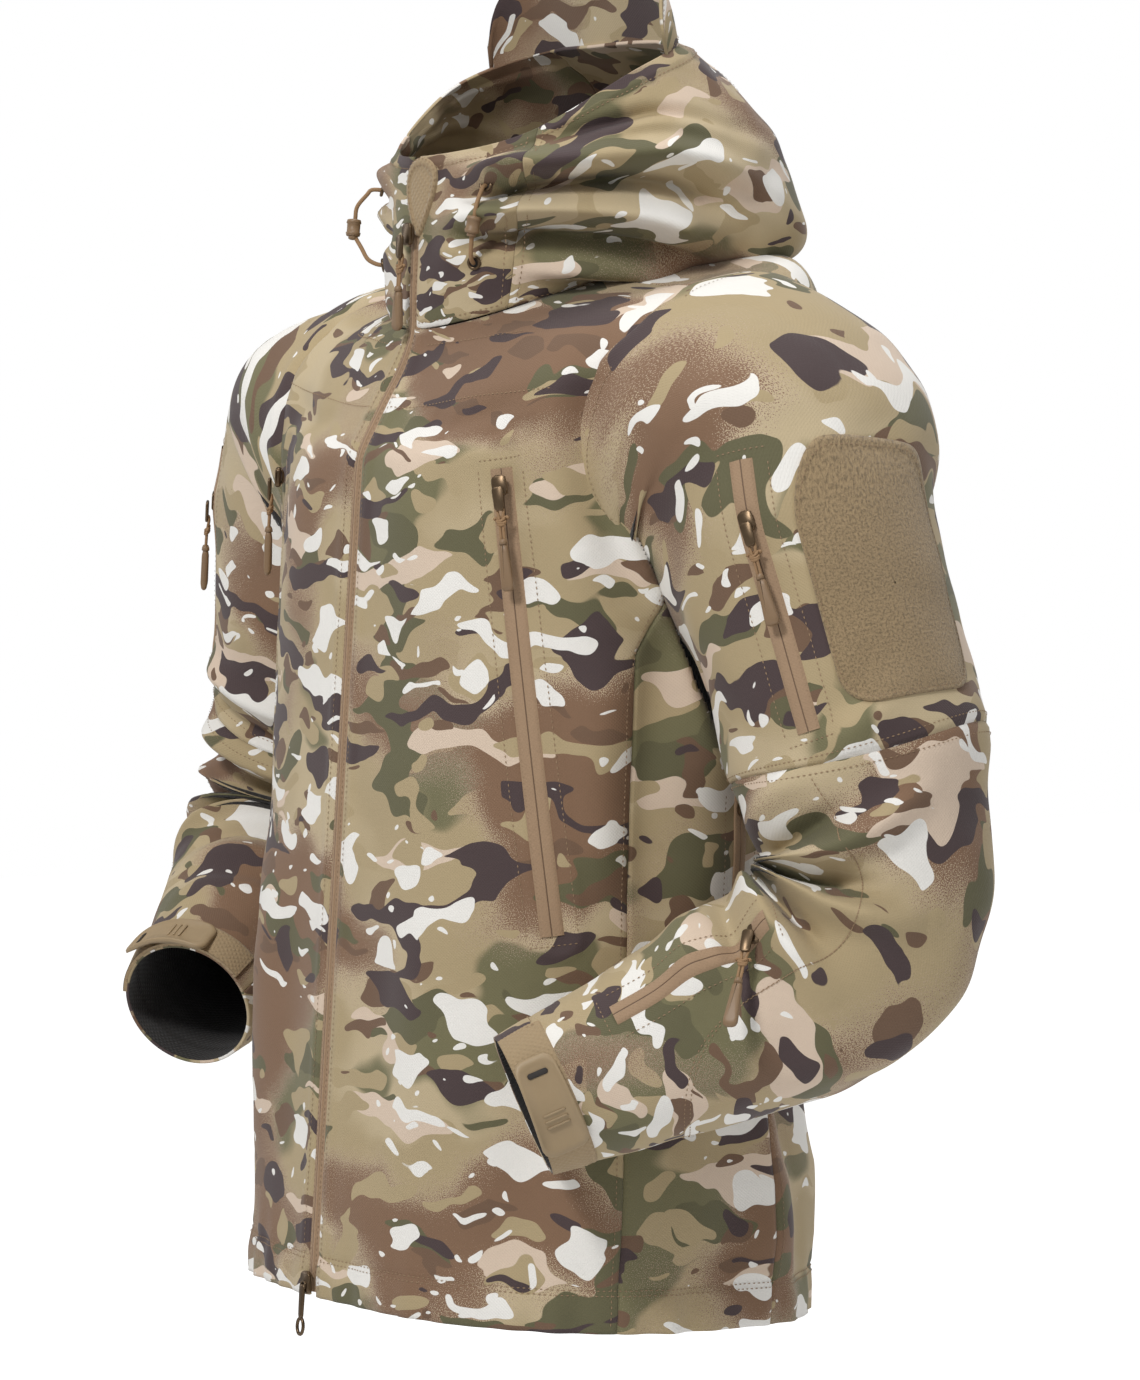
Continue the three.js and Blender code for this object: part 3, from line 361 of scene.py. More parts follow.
def body_relief(girth, rise, points):
    girth = short_way(girth)
    flat = np.stack([np.abs(girth), rise], -1)
    raised = 1.3 * folds(flat, BODY_FOLDS)
    swell = soft_noise(points * (1, 1, 0.55), 0.17, 11) * 0.0022 + soft_noise(points, 0.07, 12) * 0.0007
    gathers = np.exp(-((rise / 0.035) ** 2)) * soft_noise(np.stack([girth], -1), 0.035, 13) * 0.0016
    to_zip, _ = distance_to_path(flat, CHEST_ZIP_LINE)
    calm = 1 - np.exp(-((to_zip / 0.024) ** 2))
    calm = calm * (1 - np.exp(-((np.abs(girth) / 0.022) ** 2)))
    calm = calm * np.clip((NECK_RISE - rise) / 0.03, 0, 1)
    tunnel = 0.0011 * np.exp(-(((rise - 0.013) / 0.010) ** 2)) - 0.0009 * np.exp(
        -(((rise - 0.0275) / 0.0022) ** 2)
    )
    welt = 0.0016 * np.exp(-(((to_zip - 0.0135) / 0.004) ** 2)) - 0.0008 * np.exp(-((to_zip / 0.0075) ** 4))
    shoulder = 0.013 * np.exp(-(((rise - 0.632) / 0.036) ** 2)) * np.exp(
        -(((np.abs(girth) - 0.28) / 0.17) ** 4)
    )
    placket = 0.0012 * np.exp(-(((np.abs(girth) - 0.0135) / 0.004) ** 2))
    return (raised + swell + gathers) * calm + tunnel + welt + placket + shoulder


# ---------------------------------------------------------------- Sleeves
ARMS = {
    "left": {
        "side": 1, "shoulder_y": 0.028, "elbow": (0.312, 0.048, -0.376), "cuff": (0.214, -0.156, -0.470)
    },
    "right": {
        "side": -1, "shoulder_y": -0.012, "elbow": (-0.328, 0.014, -0.368), "cuff": (-0.212, -0.152, -0.452)
    },
}
SHOULDER_RADIUS, UPPER_RADIUS, ELBOW_RADIUS, CUFF_RADIUS = 0.084, 0.079, 0.072, 0.044
ELBOW_BEND = 0.084


class Sleeve:
    """The middle line of one sleeve, with its radius and directions, at every distance from the top."""

    def __init__(self, name):
        arm = ARMS[name]
        self.name, self.side = name, arm["side"]
        s, y = arm["side"], arm["shoulder_y"]
        elbow, cuff = np.array(arm["elbow"]), np.array(arm["cuff"])
        top, seam = np.array((s * 0.240, y, -0.122)), np.array((s * 0.288, y + 0.014, -0.264))
        places = [
            (s * 0.140, y - 0.002, -0.070), (s * 0.188, y + 0.002, -0.076), (s * 0.218, y + 0.004, -0.094)
        ]
        radii = [0.082, 0.089, 0.093]
        for share in np.linspace(0, 1, 5):
            places.append(top + (seam - top) * share)
            radii.append(SHOULDER_RADIUS + (UPPER_RADIUS - SHOULDER_RADIUS) * share)
        into, onward = unit(elbow - seam), unit(cuff - elbow)
        bend = math.acos(float(np.dot(into, onward)))
        reach = ELBOW_BEND * math.tan(bend / 2)
        start = elbow - into * reach
        inward = unit(onward - into * math.cos(bend))
        centre = start + inward * ELBOW_BEND
        for turn in np.linspace(0, bend, 9):
            places.append(centre + ELBOW_BEND * (-inward * math.cos(turn) + into * math.sin(turn)))
            radii.append(ELBOW_RADIUS)
        arc_end = places[-1]
        for share in (0.33, 0.67, 1.0):
            places.append(arc_end + (cuff - arc_end) * share)
            radii.append(ELBOW_RADIUS + (CUFF_RADIUS - ELBOW_RADIUS) * share)
        places, radii = np.array(places, float), np.array(radii)
        run = np.concatenate([[0], np.cumsum(np.linalg.norm(np.diff(places, axis=0), axis=1))])
        self.table = np.arange(0, run[-1], 0.002)
        self.middle = np.stack([blurred(np.interp(self.table, run, places[:, k]), 4) for k in range(3)], -1)
        self.radius = blurred(np.interp(self.table, run, radii), 4)
        self.along = unit(np.gradient(self.middle, axis=0))
        self.length = self.table[-1]
        self.top_at, self.seam_at, self.bend_at, self.elbow_end = run[3], run[7], run[12], run[16]
        self.inward, self.bend = inward, bend

    def at(self, distance):
        pick = lambda table: np.stack([np.interp(distance, self.table, table[:, k]) for k in range(3)], -1)
        along = unit(pick(self.along))
        out = unit(np.array((self.side, 0, 0)) - along * (self.side * along[..., :1]))
        across = np.cross(along, out)
        return pick(self.middle), along, out, across, np.interp(distance, self.table, self.radius)

    def surface(self, turn, distance):
        middle, _, out, across, radius = self.at(distance)
        around = np.cos(turn)[..., None] * out + np.sin(turn)[..., None] * across
        return middle + radius[..., None] * around, around

    def depth_inside(self, points):
        """Distance outside the sleeve's skin; less than nothing inside it."""
        reach = self.table < self.seam_at
        middles, radii = self.middle[reach][::3], self.radius[reach][::3]
        flat = points.reshape(-1, 3)
        best = np.full(len(flat), np.inf)
        for middle, radius in zip(middles, radii):
            best = np.minimum(best, np.linalg.norm(flat - middle, axis=1) - radius)
        before_start = -(flat - self.middle[4]) @ self.along[4]
        return np.maximum(best, before_start).reshape(points.shape[:-1])


SLEEVES = {name: Sleeve(name) for name in ARMS}
BLEND_REACH = 0.034


def soft_union(a, b):
    near = np.clip(BLEND_REACH - np.abs(a - b), 0, None) / BLEND_REACH
    return np.minimum(a, b) - near**2 * BLEND_REACH / 4


def body_tree():
    """The plain body, for measuring how far a sleeve's points are from it."""
    girth, rise = np.meshgrid(np.linspace(-HALF_GIRTH, HALF_GIRTH, 241), np.linspace(0.2, NECK_RISE, 120))
    points = body_surface(girth, rise)
    points = points + surface_normal(
        body_surface, girth, rise
    )[..., :] * body_relief(girth, rise, points)[..., None]
    faces = grid_faces(*points.shape[:2])
    return BVHTree.FromPolygons(
        [tuple(p) for p in points.reshape(-1, 3)], [tuple(int(i) for i in f) for f in faces]
    )


BODY_TREE = body_tree()


def distance_outside_body(points):
    flat = points.reshape(-1, 3)
    result = np.empty(len(flat))
    for i, p in enumerate(flat):
        place, normal, _, gap = BODY_TREE.find_nearest(Vector(p))
        side = (Vector(p) - place).dot(normal)
        result[i] = gap if side > 0 else -gap
    return result.reshape(points.shape[:-1])


def body_cloth(girth, rise):
    """Outer points of the body's cloth, with folds, filled out smoothly where the sleeves join it."""
    base = body_surface(girth, rise)
    normal = surface_normal(body_surface, girth, rise)
    points = base + normal * body_relief(girth, rise, base)[..., None]
    into_sleeve = np.full(girth.shape, -1.0)
    for sleeve in SLEEVES.values():
        lift = np.zeros(girth.shape)
        near = sleeve.depth_inside(points) < BLEND_REACH
        for _ in range(4):
            moved = points + normal * lift[..., None]
            gap = np.where(near, sleeve.depth_inside(moved), 1.0)
            lift = np.where(near, lift - soft_union(lift, gap) * 0.7, lift)
        points = points + normal * np.clip(lift, 0, 0.03)[..., None]
        into_sleeve = np.maximum(into_sleeve, np.where(near, lift - gap, -1.0))
    return points, into_sleeve


SIDE_SEAM, BACK_SEAM = math.radians(74), math.radians(108)
SEAM_LOW, SEAM_HIGH = 0.615 - 0.190, 0.615 - 0.110


def seam_girth(angle, rise):
    swing = np.clip((rise - SEAM_LOW) / (SEAM_HIGH - SEAM_LOW), 0, 1)
    return girth_at(angle + (np.pi / 2 - angle) * swing)


# ---------------------------------------------------------------- Materials
def colour(red, green, blue):
    """A screen colour out of 255 as the linear values the shader takes."""
    linear = [((c / 255 + 0.055) / 1.055) ** 2.4 if c > 10 else c / 255 / 12.92 for c in (red, green, blue)]
    return (*linear, 1.0)


class Wires:
    """Adds nodes to a tree and joins them up."""

    def __init__(self, tree):
        self.tree = tree

    def feed(self, socket, value):
        if isinstance(value, bpy.types.NodeSocket):
            self.tree.links.new(value, socket)
        elif value is not None:
            socket.default_value = value

    def add(self, kind, inputs=None, **settings):
        node = self.tree.nodes.new(kind)
        for label, value in settings.items():
            setattr(node, label, value)
        for socket, value in (inputs or {}).items():
            self.feed(node.inputs[socket], value)
        return node

    def math(self, operation, a, b=None):
        return self.add("ShaderNodeMath", {0: a, 1: b}, operation=operation).outputs[0]

    def mix(self, factor, a, b):
        return self.add("ShaderNodeMix", {0: factor, 6: a, 7: b}, data_type="RGBA").outputs[2]

    def step(self, value, low, high):
        node = self.add("ShaderNodeMapRange", {0: value, 1: low, 2: high}, interpolation_type="SMOOTHSTEP")
        return node.outputs[0]

    def stretched(self, place, across, along, move=0.0):
        shift = (move, move * 0.37, 0)
        return self.add(
            "ShaderNodeMapping", {"Vector": place, "Location": shift, "Scale": (across, along, 1)}
        ).outputs[0]

    def noise(self, place, scale, detail=2.0, rough=0.5):
        inputs = {"Vector": place, "Scale": scale, "Detail": detail, "Roughness": rough}
        return self.add("ShaderNodeTexNoise", inputs, noise_dimensions="2D").outputs[0]

    def use(self, group, inputs):
        node = self.add("ShaderNodeGroup", node_tree=group)
        for label, value in inputs.items():
            self.feed(node.inputs[label], value)
        return node


def new_group(name, inputs, outputs):
    group = bpy.data.node_groups.new(name, "ShaderNodeTree")
    for label, kind, value in inputs:
        socket = group.interface.new_socket(label, in_out="INPUT", socket_type=kind)
        if value is not None:
            socket.default_value = value
    for label, kind in outputs:
        group.interface.new_socket(label, in_out="OUTPUT", socket_type=kind)
    return group, group.nodes.new("NodeGroupInput"), group.nodes.new("NodeGroupOutput")


TAN, PALE_TAN = colour(173, 154, 118), colour(190, 172, 138)
GREEN, DARK_GREEN = colour(114, 109, 77), colour(98, 94, 66)
BROWN, SMALL_BROWN = colour(128, 98, 74), colour(112, 86, 66)
DARK_VIOLET, PINK_BEIGE, OFF_WHITE = colour(72, 57, 57), colour(214, 193, 172), colour(236, 233, 227)


def camouflage_group():
    """Layers of printed shapes on the cloth: airbrushed patches below, crisp blobs above."""
    group, given, result = new_group(
        "camouflage print", [("Place", "NodeSocketVector", None)], [("Color", "NodeSocketColor")]
    )
    w = Wires(group)
    bend = w.add(
        "ShaderNodeTexNoise", {"Vector": given.outputs[0], "Scale": 28.0, "Detail": 1.0},
        noise_dimensions="2D"
    ).outputs[1]
    bend = w.add("ShaderNodeVectorMath", {0: bend, 1: (0.5, 0.5, 0.5)}, operation="SUBTRACT").outputs[0]
    bend = w.add("ShaderNodeVectorMath", {0: bend, "Scale": 0.026}, operation="SCALE").outputs[0]
    place = w.add("ShaderNodeVectorMath", {0: given.outputs[0], 1: bend}, operation="ADD").outputs[0]
    grain = w.math("SUBTRACT", w.noise(given.outputs[0], 1500.0, 1.0), 0.5)

    def layer(below, ink, scale, across, along, move, low, high, speckle=0.0, detail=0.6, only=None):
        value = w.noise(w.stretched(place, across, along, move), scale, detail)
        if speckle:
            value = w.math("ADD", value, w.math("MULTIPLY", grain, speckle))
        if only is not None:
            value = w.math("ADD", value, only)
        return w.mix(w.step(value, low, high), below, ink)

    ink = layer(TAN, PALE_TAN, 9.0, 0.8, 1.2, 3.1, 0.45, 0.62)
    ink = layer(ink, GREEN, 9.0, 0.7, 1.2, 7.7, 0.54, 0.585, 0.0, 1.2)
    ink = layer(ink, TAN, 26.0, 0.6, 1.4, 4.9, 0.640, 0.645, 0.0, 1.0)
    ink = layer(ink, PINK_BEIGE, 6.2, 0.9, 1.0, 1.9, 0.535, 0.565, 0.26, 1.2)
    ink = layer(ink, BROWN, 6.2, 0.9, 1.0, 1.9, 0.545, 0.580, 0.26, 1.2)
    ink = layer(ink, DARK_GREEN, 19.0, 0.65, 1.4, 5.3, 0.640, 0.644, 0.0, 1.0)
    ink = layer(ink, PINK_BEIGE, 19.0, 0.5, 1.5, 9.1, 0.680, 0.684, 0.0, 0.8)
    gather = w.math("SUBTRACT", w.noise(w.stretched(given.outputs[0], 0.8, 1.2, 5.9), 8.0, 0.5), 0.50)
    gather = w.math("MINIMUM", w.math("MULTIPLY", gather, 1.1), 0.0)
    ink = layer(ink, SMALL_BROWN, 36.0, 0.6, 1.4, 8.9, 0.650, 0.655, 0.0, 0.8, gather)
    ink = layer(ink, TAN, 32.0, 0.7, 1.3, 2.3, 0.690, 0.695)
    ink = layer(ink, DARK_VIOLET, 28.0, 0.6, 1.35, 4.4, 0.622, 0.627, 0.0, 0.8, gather)
    cluster = w.math("SUBTRACT", w.noise(w.stretched(given.outputs[0], 0.8, 1.2, 9.5), 9.0, 0.5), 0.52)
    cluster = w.math("MINIMUM", w.math("MULTIPLY", cluster, 1.2), 0.0)
    ink = layer(ink, OFF_WHITE, 42.0, 0.6, 1.25, 6.1, 0.640, 0.645, 0.0, 0.4, cluster)
    ink = layer(ink, OFF_WHITE, 80.0, 0.8, 1.2, 3.6, 0.780, 0.790, 0.0, 0.0, cluster)
    group.links.new(ink, result.inputs[0])
    return group


def weave_group():
    """A fine twill with slubs, as a height from 0 to 1; Threads is how many there are to a metre."""
    inputs = [("Place", "NodeSocketVector", None), ("Threads", "NodeSocketFloat", 1400.0)]
    group, given, result = new_group("woven threads", inputs, [("Height", "NodeSocketFloat")])
    w = Wires(group)
    turned = w.add("ShaderNodeMapping", {"Vector": given.outputs[0], "Rotation": (0, 0, 0.7)}).outputs[0]
    waves = [
        w.add(
            "ShaderNodeTexWave", {"Vector": turned, "Scale": w.math("MULTIPLY", given.outputs[1], 0.159)},
            bands_direction=way
        ).outputs[1]
        for way in ("X", "Y")
    ]
    slubs = w.noise(given.outputs[0], 420.0, 3.0, 0.6)
    height = w.math("ADD", w.math("MULTIPLY", waves[0], waves[1]), w.math("MULTIPLY", slubs, 0.9))
    group.links.new(height, result.inputs[0])
    return group


def grime_group():
    """Uneven wear: a value round 1 that shades a colour a little, and the patches themselves as a height for
    bumps.
    """
    inputs = [
        ("Place", "NodeSocketVector", None), ("Amount", "NodeSocketFloat", 0.12),
        ("Color", "NodeSocketColor", None)
    ]
    group, given, result = new_group(
        "soft wear", inputs, [("Color", "NodeSocketColor"), ("Patches", "NodeSocketFloat")]
    )
    w = Wires(group)
    patches = w.add(
        "ShaderNodeTexNoise", {"Vector": given.outputs[0], "Scale": 24.0, "Detail": 5.0}
    ).outputs[0]
    fine = w.add("ShaderNodeTexNoise", {"Vector": given.outputs[0], "Scale": 380.0, "Detail": 2.0}).outputs[0]
    both = w.math(
        "SUBTRACT", w.math("ADD", w.math("MULTIPLY", patches, 0.6), w.math("MULTIPLY", fine, 0.4)), 0.5
    )
    shade = w.math("ADD", w.math("MULTIPLY", both, given.outputs[1]), 1.0)
    shaded = w.add(
        "ShaderNodeVectorMath", {0: given.outputs[2], "Scale": shade}, operation="SCALE"
    ).outputs[0]
    group.links.new(shaded, result.inputs[0])
    group.links.new(patches, result.inputs[1])
    return group


CAMOUFLAGE, WEAVE, WEAR = camouflage_group(), weave_group(), grime_group()


def new_material(
    name, tone, rough, metallic=0.0, sheen=0.0, threads=None, depth=0.0002, wear=0.25, printed=False,
    looped=False
):
    material = bpy.data.materials.new(name)
    material.use_nodes = True
    w = Wires(material.node_tree)
    surface = material.node_tree.nodes["Principled BSDF"]
    if printed or threads:
        place = w.add("ShaderNodeUVMap", uv_map="cloth").outputs[0]
    else:
        place = w.add("ShaderNodeTexCoord").outputs["Object"]
    base = w.use(CAMOUFLAGE, {"Place": place}).outputs[0] if printed else tone
    worn = w.use(WEAR, {"Place": place, "Amount": wear, "Color": base})
    w.feed(surface.inputs["Base Color"], worn.outputs[0])
    surface.inputs["Roughness"].default_value = rough
    surface.inputs["Metallic"].default_value = metallic
    surface.inputs["Sheen Weight"].default_value = sheen
    surface.inputs["Sheen Roughness"].default_value = 0.5
    height = w.use(WEAVE, {"Place": place, "Threads": threads}).outputs[0] if threads else worn.outputs[1]
    if looped:
        height = w.noise(place, 620.0, 4.0, 0.75)
        # The pile is painted darker, down to half its tone, where its bump is low: painted shade in the
        # hollows between the loops.
        pile_hollow_shade = w.step(height, 0.30, 0.62)
        w.feed(
            surface.inputs["Base Color"],
            w.mix(pile_hollow_shade, tuple(0.5 * c for c in tone[:3]) + (1.0,), worn.outputs[0])
        )
    bump = w.add("ShaderNodeBump", {"Height": height, "Strength": 0.6, "Distance": depth})
    w.feed(surface.inputs["Normal"], bump.outputs[0])
    return material


CAMO = new_material("camouflage softshell", None, 0.82, sheen=0.12, threads=1300.0, wear=0.10, printed=True)
LINING = new_material("dark fleece lining", colour(40, 37, 35), 0.95, sheen=0.2, threads=500.0, depth=0.0006)
TAPE = new_material("woven zip tape", colour(160, 132, 104), 0.8, sheen=0.1, threads=1100.0)
COIL = new_material("zip teeth line", colour(112, 88, 66), 0.6)
METAL = new_material("bronzed zip metal", colour(104, 86, 66), 0.36, metallic=0.85, wear=0.6)
CORD = new_material("braided cord", colour(150, 118, 84), 0.75, depth=0.0004)
MOULDED = new_material("moulded cord end", colour(134, 108, 80), 0.48, wear=0.15)
TAB = new_material("moulded tab", colour(158, 136, 104), 0.5, wear=0.12)
STRAP = new_material("ribbed strap", colour(160, 138, 106), 0.85, sheen=0.1, threads=700.0, depth=0.0005)
PILE = new_material(
    "hook and loop pile", colour(166, 142, 106), 0.95, sheen=0.25, threads=300.0, depth=0.0022, wear=0.5,
    looped=True
)
FLEECE = new_material("guard fleece", colour(158, 136, 104), 0.9, sheen=0.2, threads=600.0, depth=0.0005)
THREAD = new_material("stitching thread", colour(150, 124, 96), 0.8)
# Near-black for painted shade: thin dark plates and discs stand in for the shadow inside the pull's eye, the
# cuff tab's slot and the hood's eyelets.
DARK = new_material("eyelet shade", colour(40, 34, 30), 0.7)


# ---------------------------------------------------------------- Body panels
def attach(piece, bodies):
    if len(bodies) == 1:
        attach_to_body(piece, bodies[0])
    else:
        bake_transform(piece)


def panel_shares(columns, width):
    """Even columns with closer ones along both edges, where the seam rolls under."""
    edge = np.array((0, 0.0008, 0.0020, 0.0036)) / width
    inner = np.linspace(edge[-1], 1 - edge[-1], columns)[1:-1]
    return np.concatenate([edge, inner, 1 - edge[::-1]])


def roll_edges(points, normal, share, width, depth=0.0014):
    gap = np.minimum(share, 1 - share) * width
    return points - normal * (depth * np.exp(-((gap / 0.0016) ** 2)))[..., None]


BODY_FACES = []


def body_panel_at(name, low, high, low_rise, top, shift, nodes):
    rows = int((top - low_rise) / 0.0028)
    width = float(np.max(np.abs(high(np.array([0.3])) - low(np.array([0.3])))))
    share = panel_shares(max(8, int(width / 0.0028)), width)[None, :]
    rise = np.linspace(low_rise, top, rows)[:, None] * np.ones(share.shape)
    girth = low(rise) * (1 - share) + high(rise) * share
    points, into_sleeve = body_cloth(girth, rise)
    local = np.abs(high(rise) - low(rise))
    normal = surface_normal(body_surface, girth, rise)
    points = roll_edges(points, normal, share, np.maximum(local, 0.004))
    keep = into_sleeve < 0.012
    tuck = 0.0028 * np.clip((into_sleeve + 0.007) / 0.006, 0, 1) + 0.9 * np.clip(into_sleeve, 0, 0.014)
    points = points - normal * tuck[..., None]
    BODY_FACES.append((points, keep))
    flat = np.stack([girth + shift[0], rise + shift[1]], -1)
    piece = cloth_piece(name, points, flat, nodes, [CAMO, LINING], keep=keep)
    attach(piece, ("jacket",))
    return piece


ZIP_EDGE = 0.0042
side_line = lambda rise: seam_girth(SIDE_SEAM, rise)
back_line = lambda rise: seam_girth(BACK_SEAM, rise)
body_panel_at(
    "front_cloth_left", lambda r: ZIP_EDGE + 0 * r, side_line, 0.0, NECK_RISE, (0.0, 0.0),
    ["front_panel_left"]
)
body_panel_at(
    "front_cloth_right", lambda r: -side_line(r), lambda r: -ZIP_EDGE + 0 * r, 0.0, NECK_RISE, (3.3, 1.4),
    ["front_panel_right"]
)
body_panel_at("side_cloth_left", side_line, back_line, 0.0, 0.503, (5.2, 2.7), ["side_panel_left"])
body_panel_at(
    "side_cloth_right", lambda r: -back_line(r), lambda r: -side_line(r), 0.0, 0.503, (6.1, 4.2),
    ["side_panel_right"]
)
body_panel_at(
    "back_cloth", back_line, lambda r: 2 * HALF_GIRTH - back_line(r), 0.0, NECK_RISE, (8.4, 5.5),
    ["back_panel"]
)


# ---------------------------------------------------------------- Laying things on the cloth
class Cover:
    """The outer face of some cloth, to lay seams, tapes and patches on."""

    def __init__(self, grids):
        points, faces, start = [], [], 0
        for grid, keep in grids:
            quads = grid_faces(*grid.shape[:2])
            if keep is not None:
                quads = quads[keep.reshape(-1)[quads].all(axis=1)]
            faces += [tuple(int(i) + start for i in q) for q in quads]
            points.append(grid.reshape(-1, 3))
            start += len(points[-1])
        self.tree = BVHTree.FromPolygons([tuple(p) for p in np.concatenate(points)], faces)

    def settle(self, points, normals, lift=0.0, reach=0.016):
        """Moves points along their normals onto the cloth, then lift above it."""
        flat, ways = points.reshape(-1, 3), np.broadcast_to(normals, points.shape).reshape(-1, 3)
        lifts = np.broadcast_to(lift, points.shape[:-1]).reshape(-1)
        result = np.empty_like(flat)
        for i, (p, n, up) in enumerate(zip(flat, ways, lifts)):
            start, way = Vector(p + n * reach), Vector(n)
            hit = self.tree.ray_cast(start, -way, reach * 2.5)[0]
            if hit is None:
                hit = self.tree.find_nearest(Vector(p))[0]
            result[i] = np.array(hit) + n * up
        return result.reshape(points.shape)


def surface_path(surface, line, step=0.002):
    """Points and outward normals along a line drawn on a surface by its two coordinates."""
    flat = smooth_path(np.array([(u, v, 0.0) for u, v in line]), step)[:, :2]
    return surface(flat[:, 0], flat[:, 1]), surface_normal(surface, flat[:, 0], flat[:, 1])


def ribbon(
    name, cover, line, offsets, heights, materials, bodies, nodes=(), slots=None
):
    """A flat band laid along a line on the cloth; offsets and heights give its cross-section."""
    points, normals = line
    along = unit(np.gradient(points, axis=0))
    across = unit(np.cross(along, normals))
    offsets, heights = np.asarray(offsets, float), np.asarray(heights, float)
    places = points[:, None] + across[:, None] * offsets[None, :, None]
    ways = np.broadcast_to(normals[:, None], places.shape)
    grid = cover.settle(places, ways, heights[None, :]) if cover else places + ways * heights[None, :, None]
    run = np.concatenate([[0], np.cumsum(np.linalg.norm(np.diff(points, axis=0), axis=1))])
    flat = np.stack(np.broadcast_arrays(offsets[None, :], run[:, None]), -1)
    faces = grid_faces(*grid.shape[:2])
    if slots is not None:
        slots = np.tile(slots, len(run) - 1)
    piece = mesh_object(name, grid, faces, materials, slots=slots)
    lay_print(piece, flat)
    if nodes:
        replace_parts(piece, *nodes)
    attach(piece, bodies)
    return piece


def stitches(name, cover, lines, bodies, length=0.0023, gap=0.0013, lift=0.0002, width=0.00042):
    """Rows of sewn stitches, each a short rounded bar half sunk in the cloth."""
    parts = []
    for points, normals in lines:
        laid = cover.settle(points, normals, lift) if cover else points + normals * lift
        run = np.concatenate([[0], np.cumsum(np.linalg.norm(np.diff(laid, axis=0), axis=1))])
        starts = np.arange(0.001, run[-1] - length, length + gap)
        at = lambda d: np.stack([np.interp(d, run, laid[:, k]) for k in range(3)], -1)
        way = lambda d: unit(np.stack([np.interp(d, run, normals[:, k]) for k in range(3)], -1))
        for start in starts:
            ends, normal = at(np.array([start, start + length])), way(np.array([start + length / 2]))[0]
            side = unit(np.cross(ends[1] - ends[0], normal)) * width
            middle = (ends[0] + ends[1]) / 2 + normal * width
            ring = np.array([ends[0], middle - side, ends[1], middle + side, middle + normal * width * 0.5])
            parts.append((ring, [(0, 1, 4), (1, 2, 4), (2, 3, 4), (3, 0, 4)]))
    points, faces = join_meshes(parts)
    piece = mesh_object(name, points, faces, [THREAD])
    attach(piece, bodies)
    return piece


BODY_COVER = Cover(BODY_FACES)
body_path = lambda line, step=0.002: surface_path(body_surface, line, step)
JACKET = ("jacket",)


# ---------------------------------------------------------------- Sleeve cloth
def inner_turn(sleeve):
    """The direction round the sleeve that faces the inside of the bent elbow."""
    _, _, out, across, _ = sleeve.at(np.array(sleeve.bend_at))
    return math.atan2(float(np.dot(sleeve.inward, across)), float(np.dot(sleeve.inward, out)))


def wrapped(turn):
    return (turn + np.pi) % (2 * np.pi) - np.pi


# Creases of each sleeve, as (distance round from the inside of the elbow, distance along from the elbow).
SLEEVE_FOLDS = {
    "left": [
        ([(0.03, -0.078), (-0.03, -0.086), (-0.09, -0.112), (-0.14, -0.135)], 0.011, 0.008),
        ([(0.02, -0.057), (-0.04, -0.062), (-0.10, -0.085)], 0.007, -0.008),
        ([(0.03, -0.036), (-0.03, -0.038), (-0.09, -0.055), (-0.15, -0.085)], 0.011, 0.012),
        ([(0.02, -0.018), (-0.04, -0.016), (-0.11, -0.030)], 0.007, -0.011),
        ([(0.03, 0.000), (-0.03, 0.004), (-0.09, 0.000), (-0.15, -0.020)], 0.011, 0.012),
        ([(0.02, 0.020), (-0.04, 0.028), (-0.11, 0.026)], 0.007, -0.010),
        ([(0.03, 0.036), (-0.03, 0.048), (-0.09, 0.052), (-0.15, 0.040)], 0.011, 0.010),
        ([(0.02, 0.056), (-0.05, 0.072), (-0.11, 0.078)], 0.008, -0.007),
        ([(0.03, 0.078), (-0.04, 0.098), (-0.11, 0.112)], 0.014, 0.006),
        ([(0.02, -0.050), (0.07, -0.062), (0.13, -0.090)], 0.009, 0.008),
        ([(0.02, -0.030), (0.08, -0.036), (0.14, -0.058)], 0.006, -0.007),
        ([(0.02, -0.008), (0.08, -0.010), (0.15, -0.024)], 0.009, 0.009),
        ([(0.02, 0.014), (0.08, 0.016), (0.14, 0.010)], 0.006, -0.007),
        ([(0.02, 0.036), (0.08, 0.042), (0.15, 0.042)], 0.010, 0.007),
        ([(-0.19, -0.02), (-0.20, 0.03), (-0.18, 0.08)], 0.020, 0.004),
    ],
    "right": [
        ([(-0.12, -0.150), (-0.04, -0.128), (0.05, -0.140), (0.12, -0.150)], 0.0085, 0.0075),
        ([(-0.12, -0.130), (-0.04, -0.110), (0.05, -0.116), (0.12, -0.125)], 0.0055, -0.0065),
        ([(-0.14, -0.105), (-0.05, -0.088), (0.04, -0.096), (0.13, -0.098)], 0.0090, 0.0090),
        ([(-0.13, -0.082), (-0.05, -0.066), (0.05, -0.072), (0.13, -0.074)], 0.0055, -0.0075),
        ([(-0.15, -0.060), (-0.05, -0.046), (0.05, -0.050), (0.14, -0.048)], 0.0085, 0.0095),
        ([(-0.13, -0.040), (-0.04, -0.026), (0.06, -0.030), (0.13, -0.024)], 0.0055, -0.0080),
        ([(-0.14, -0.016), (-0.04, -0.006), (0.05, -0.004), (0.13, 0.004)], 0.0085, 0.0095),
        ([(-0.12, 0.008), (-0.03, 0.014), (0.06, 0.016)], 0.0055, -0.0075),
        ([(-0.13, 0.032), (-0.03, 0.032), (0.06, 0.038), (0.13, 0.044)], 0.0090, 0.0080),
        ([(-0.10, 0.060), (0.00, 0.062), (0.09, 0.070)], 0.0070, -0.0050),
        ([(-0.12, 0.085), (0.00, 0.088), (0.10, 0.098)], 0.0110, 0.0055),
        ([(-0.10, 0.125), (0.00, 0.122), (0.09, 0.130)], 0.0110, 0.0040),
    ],
}


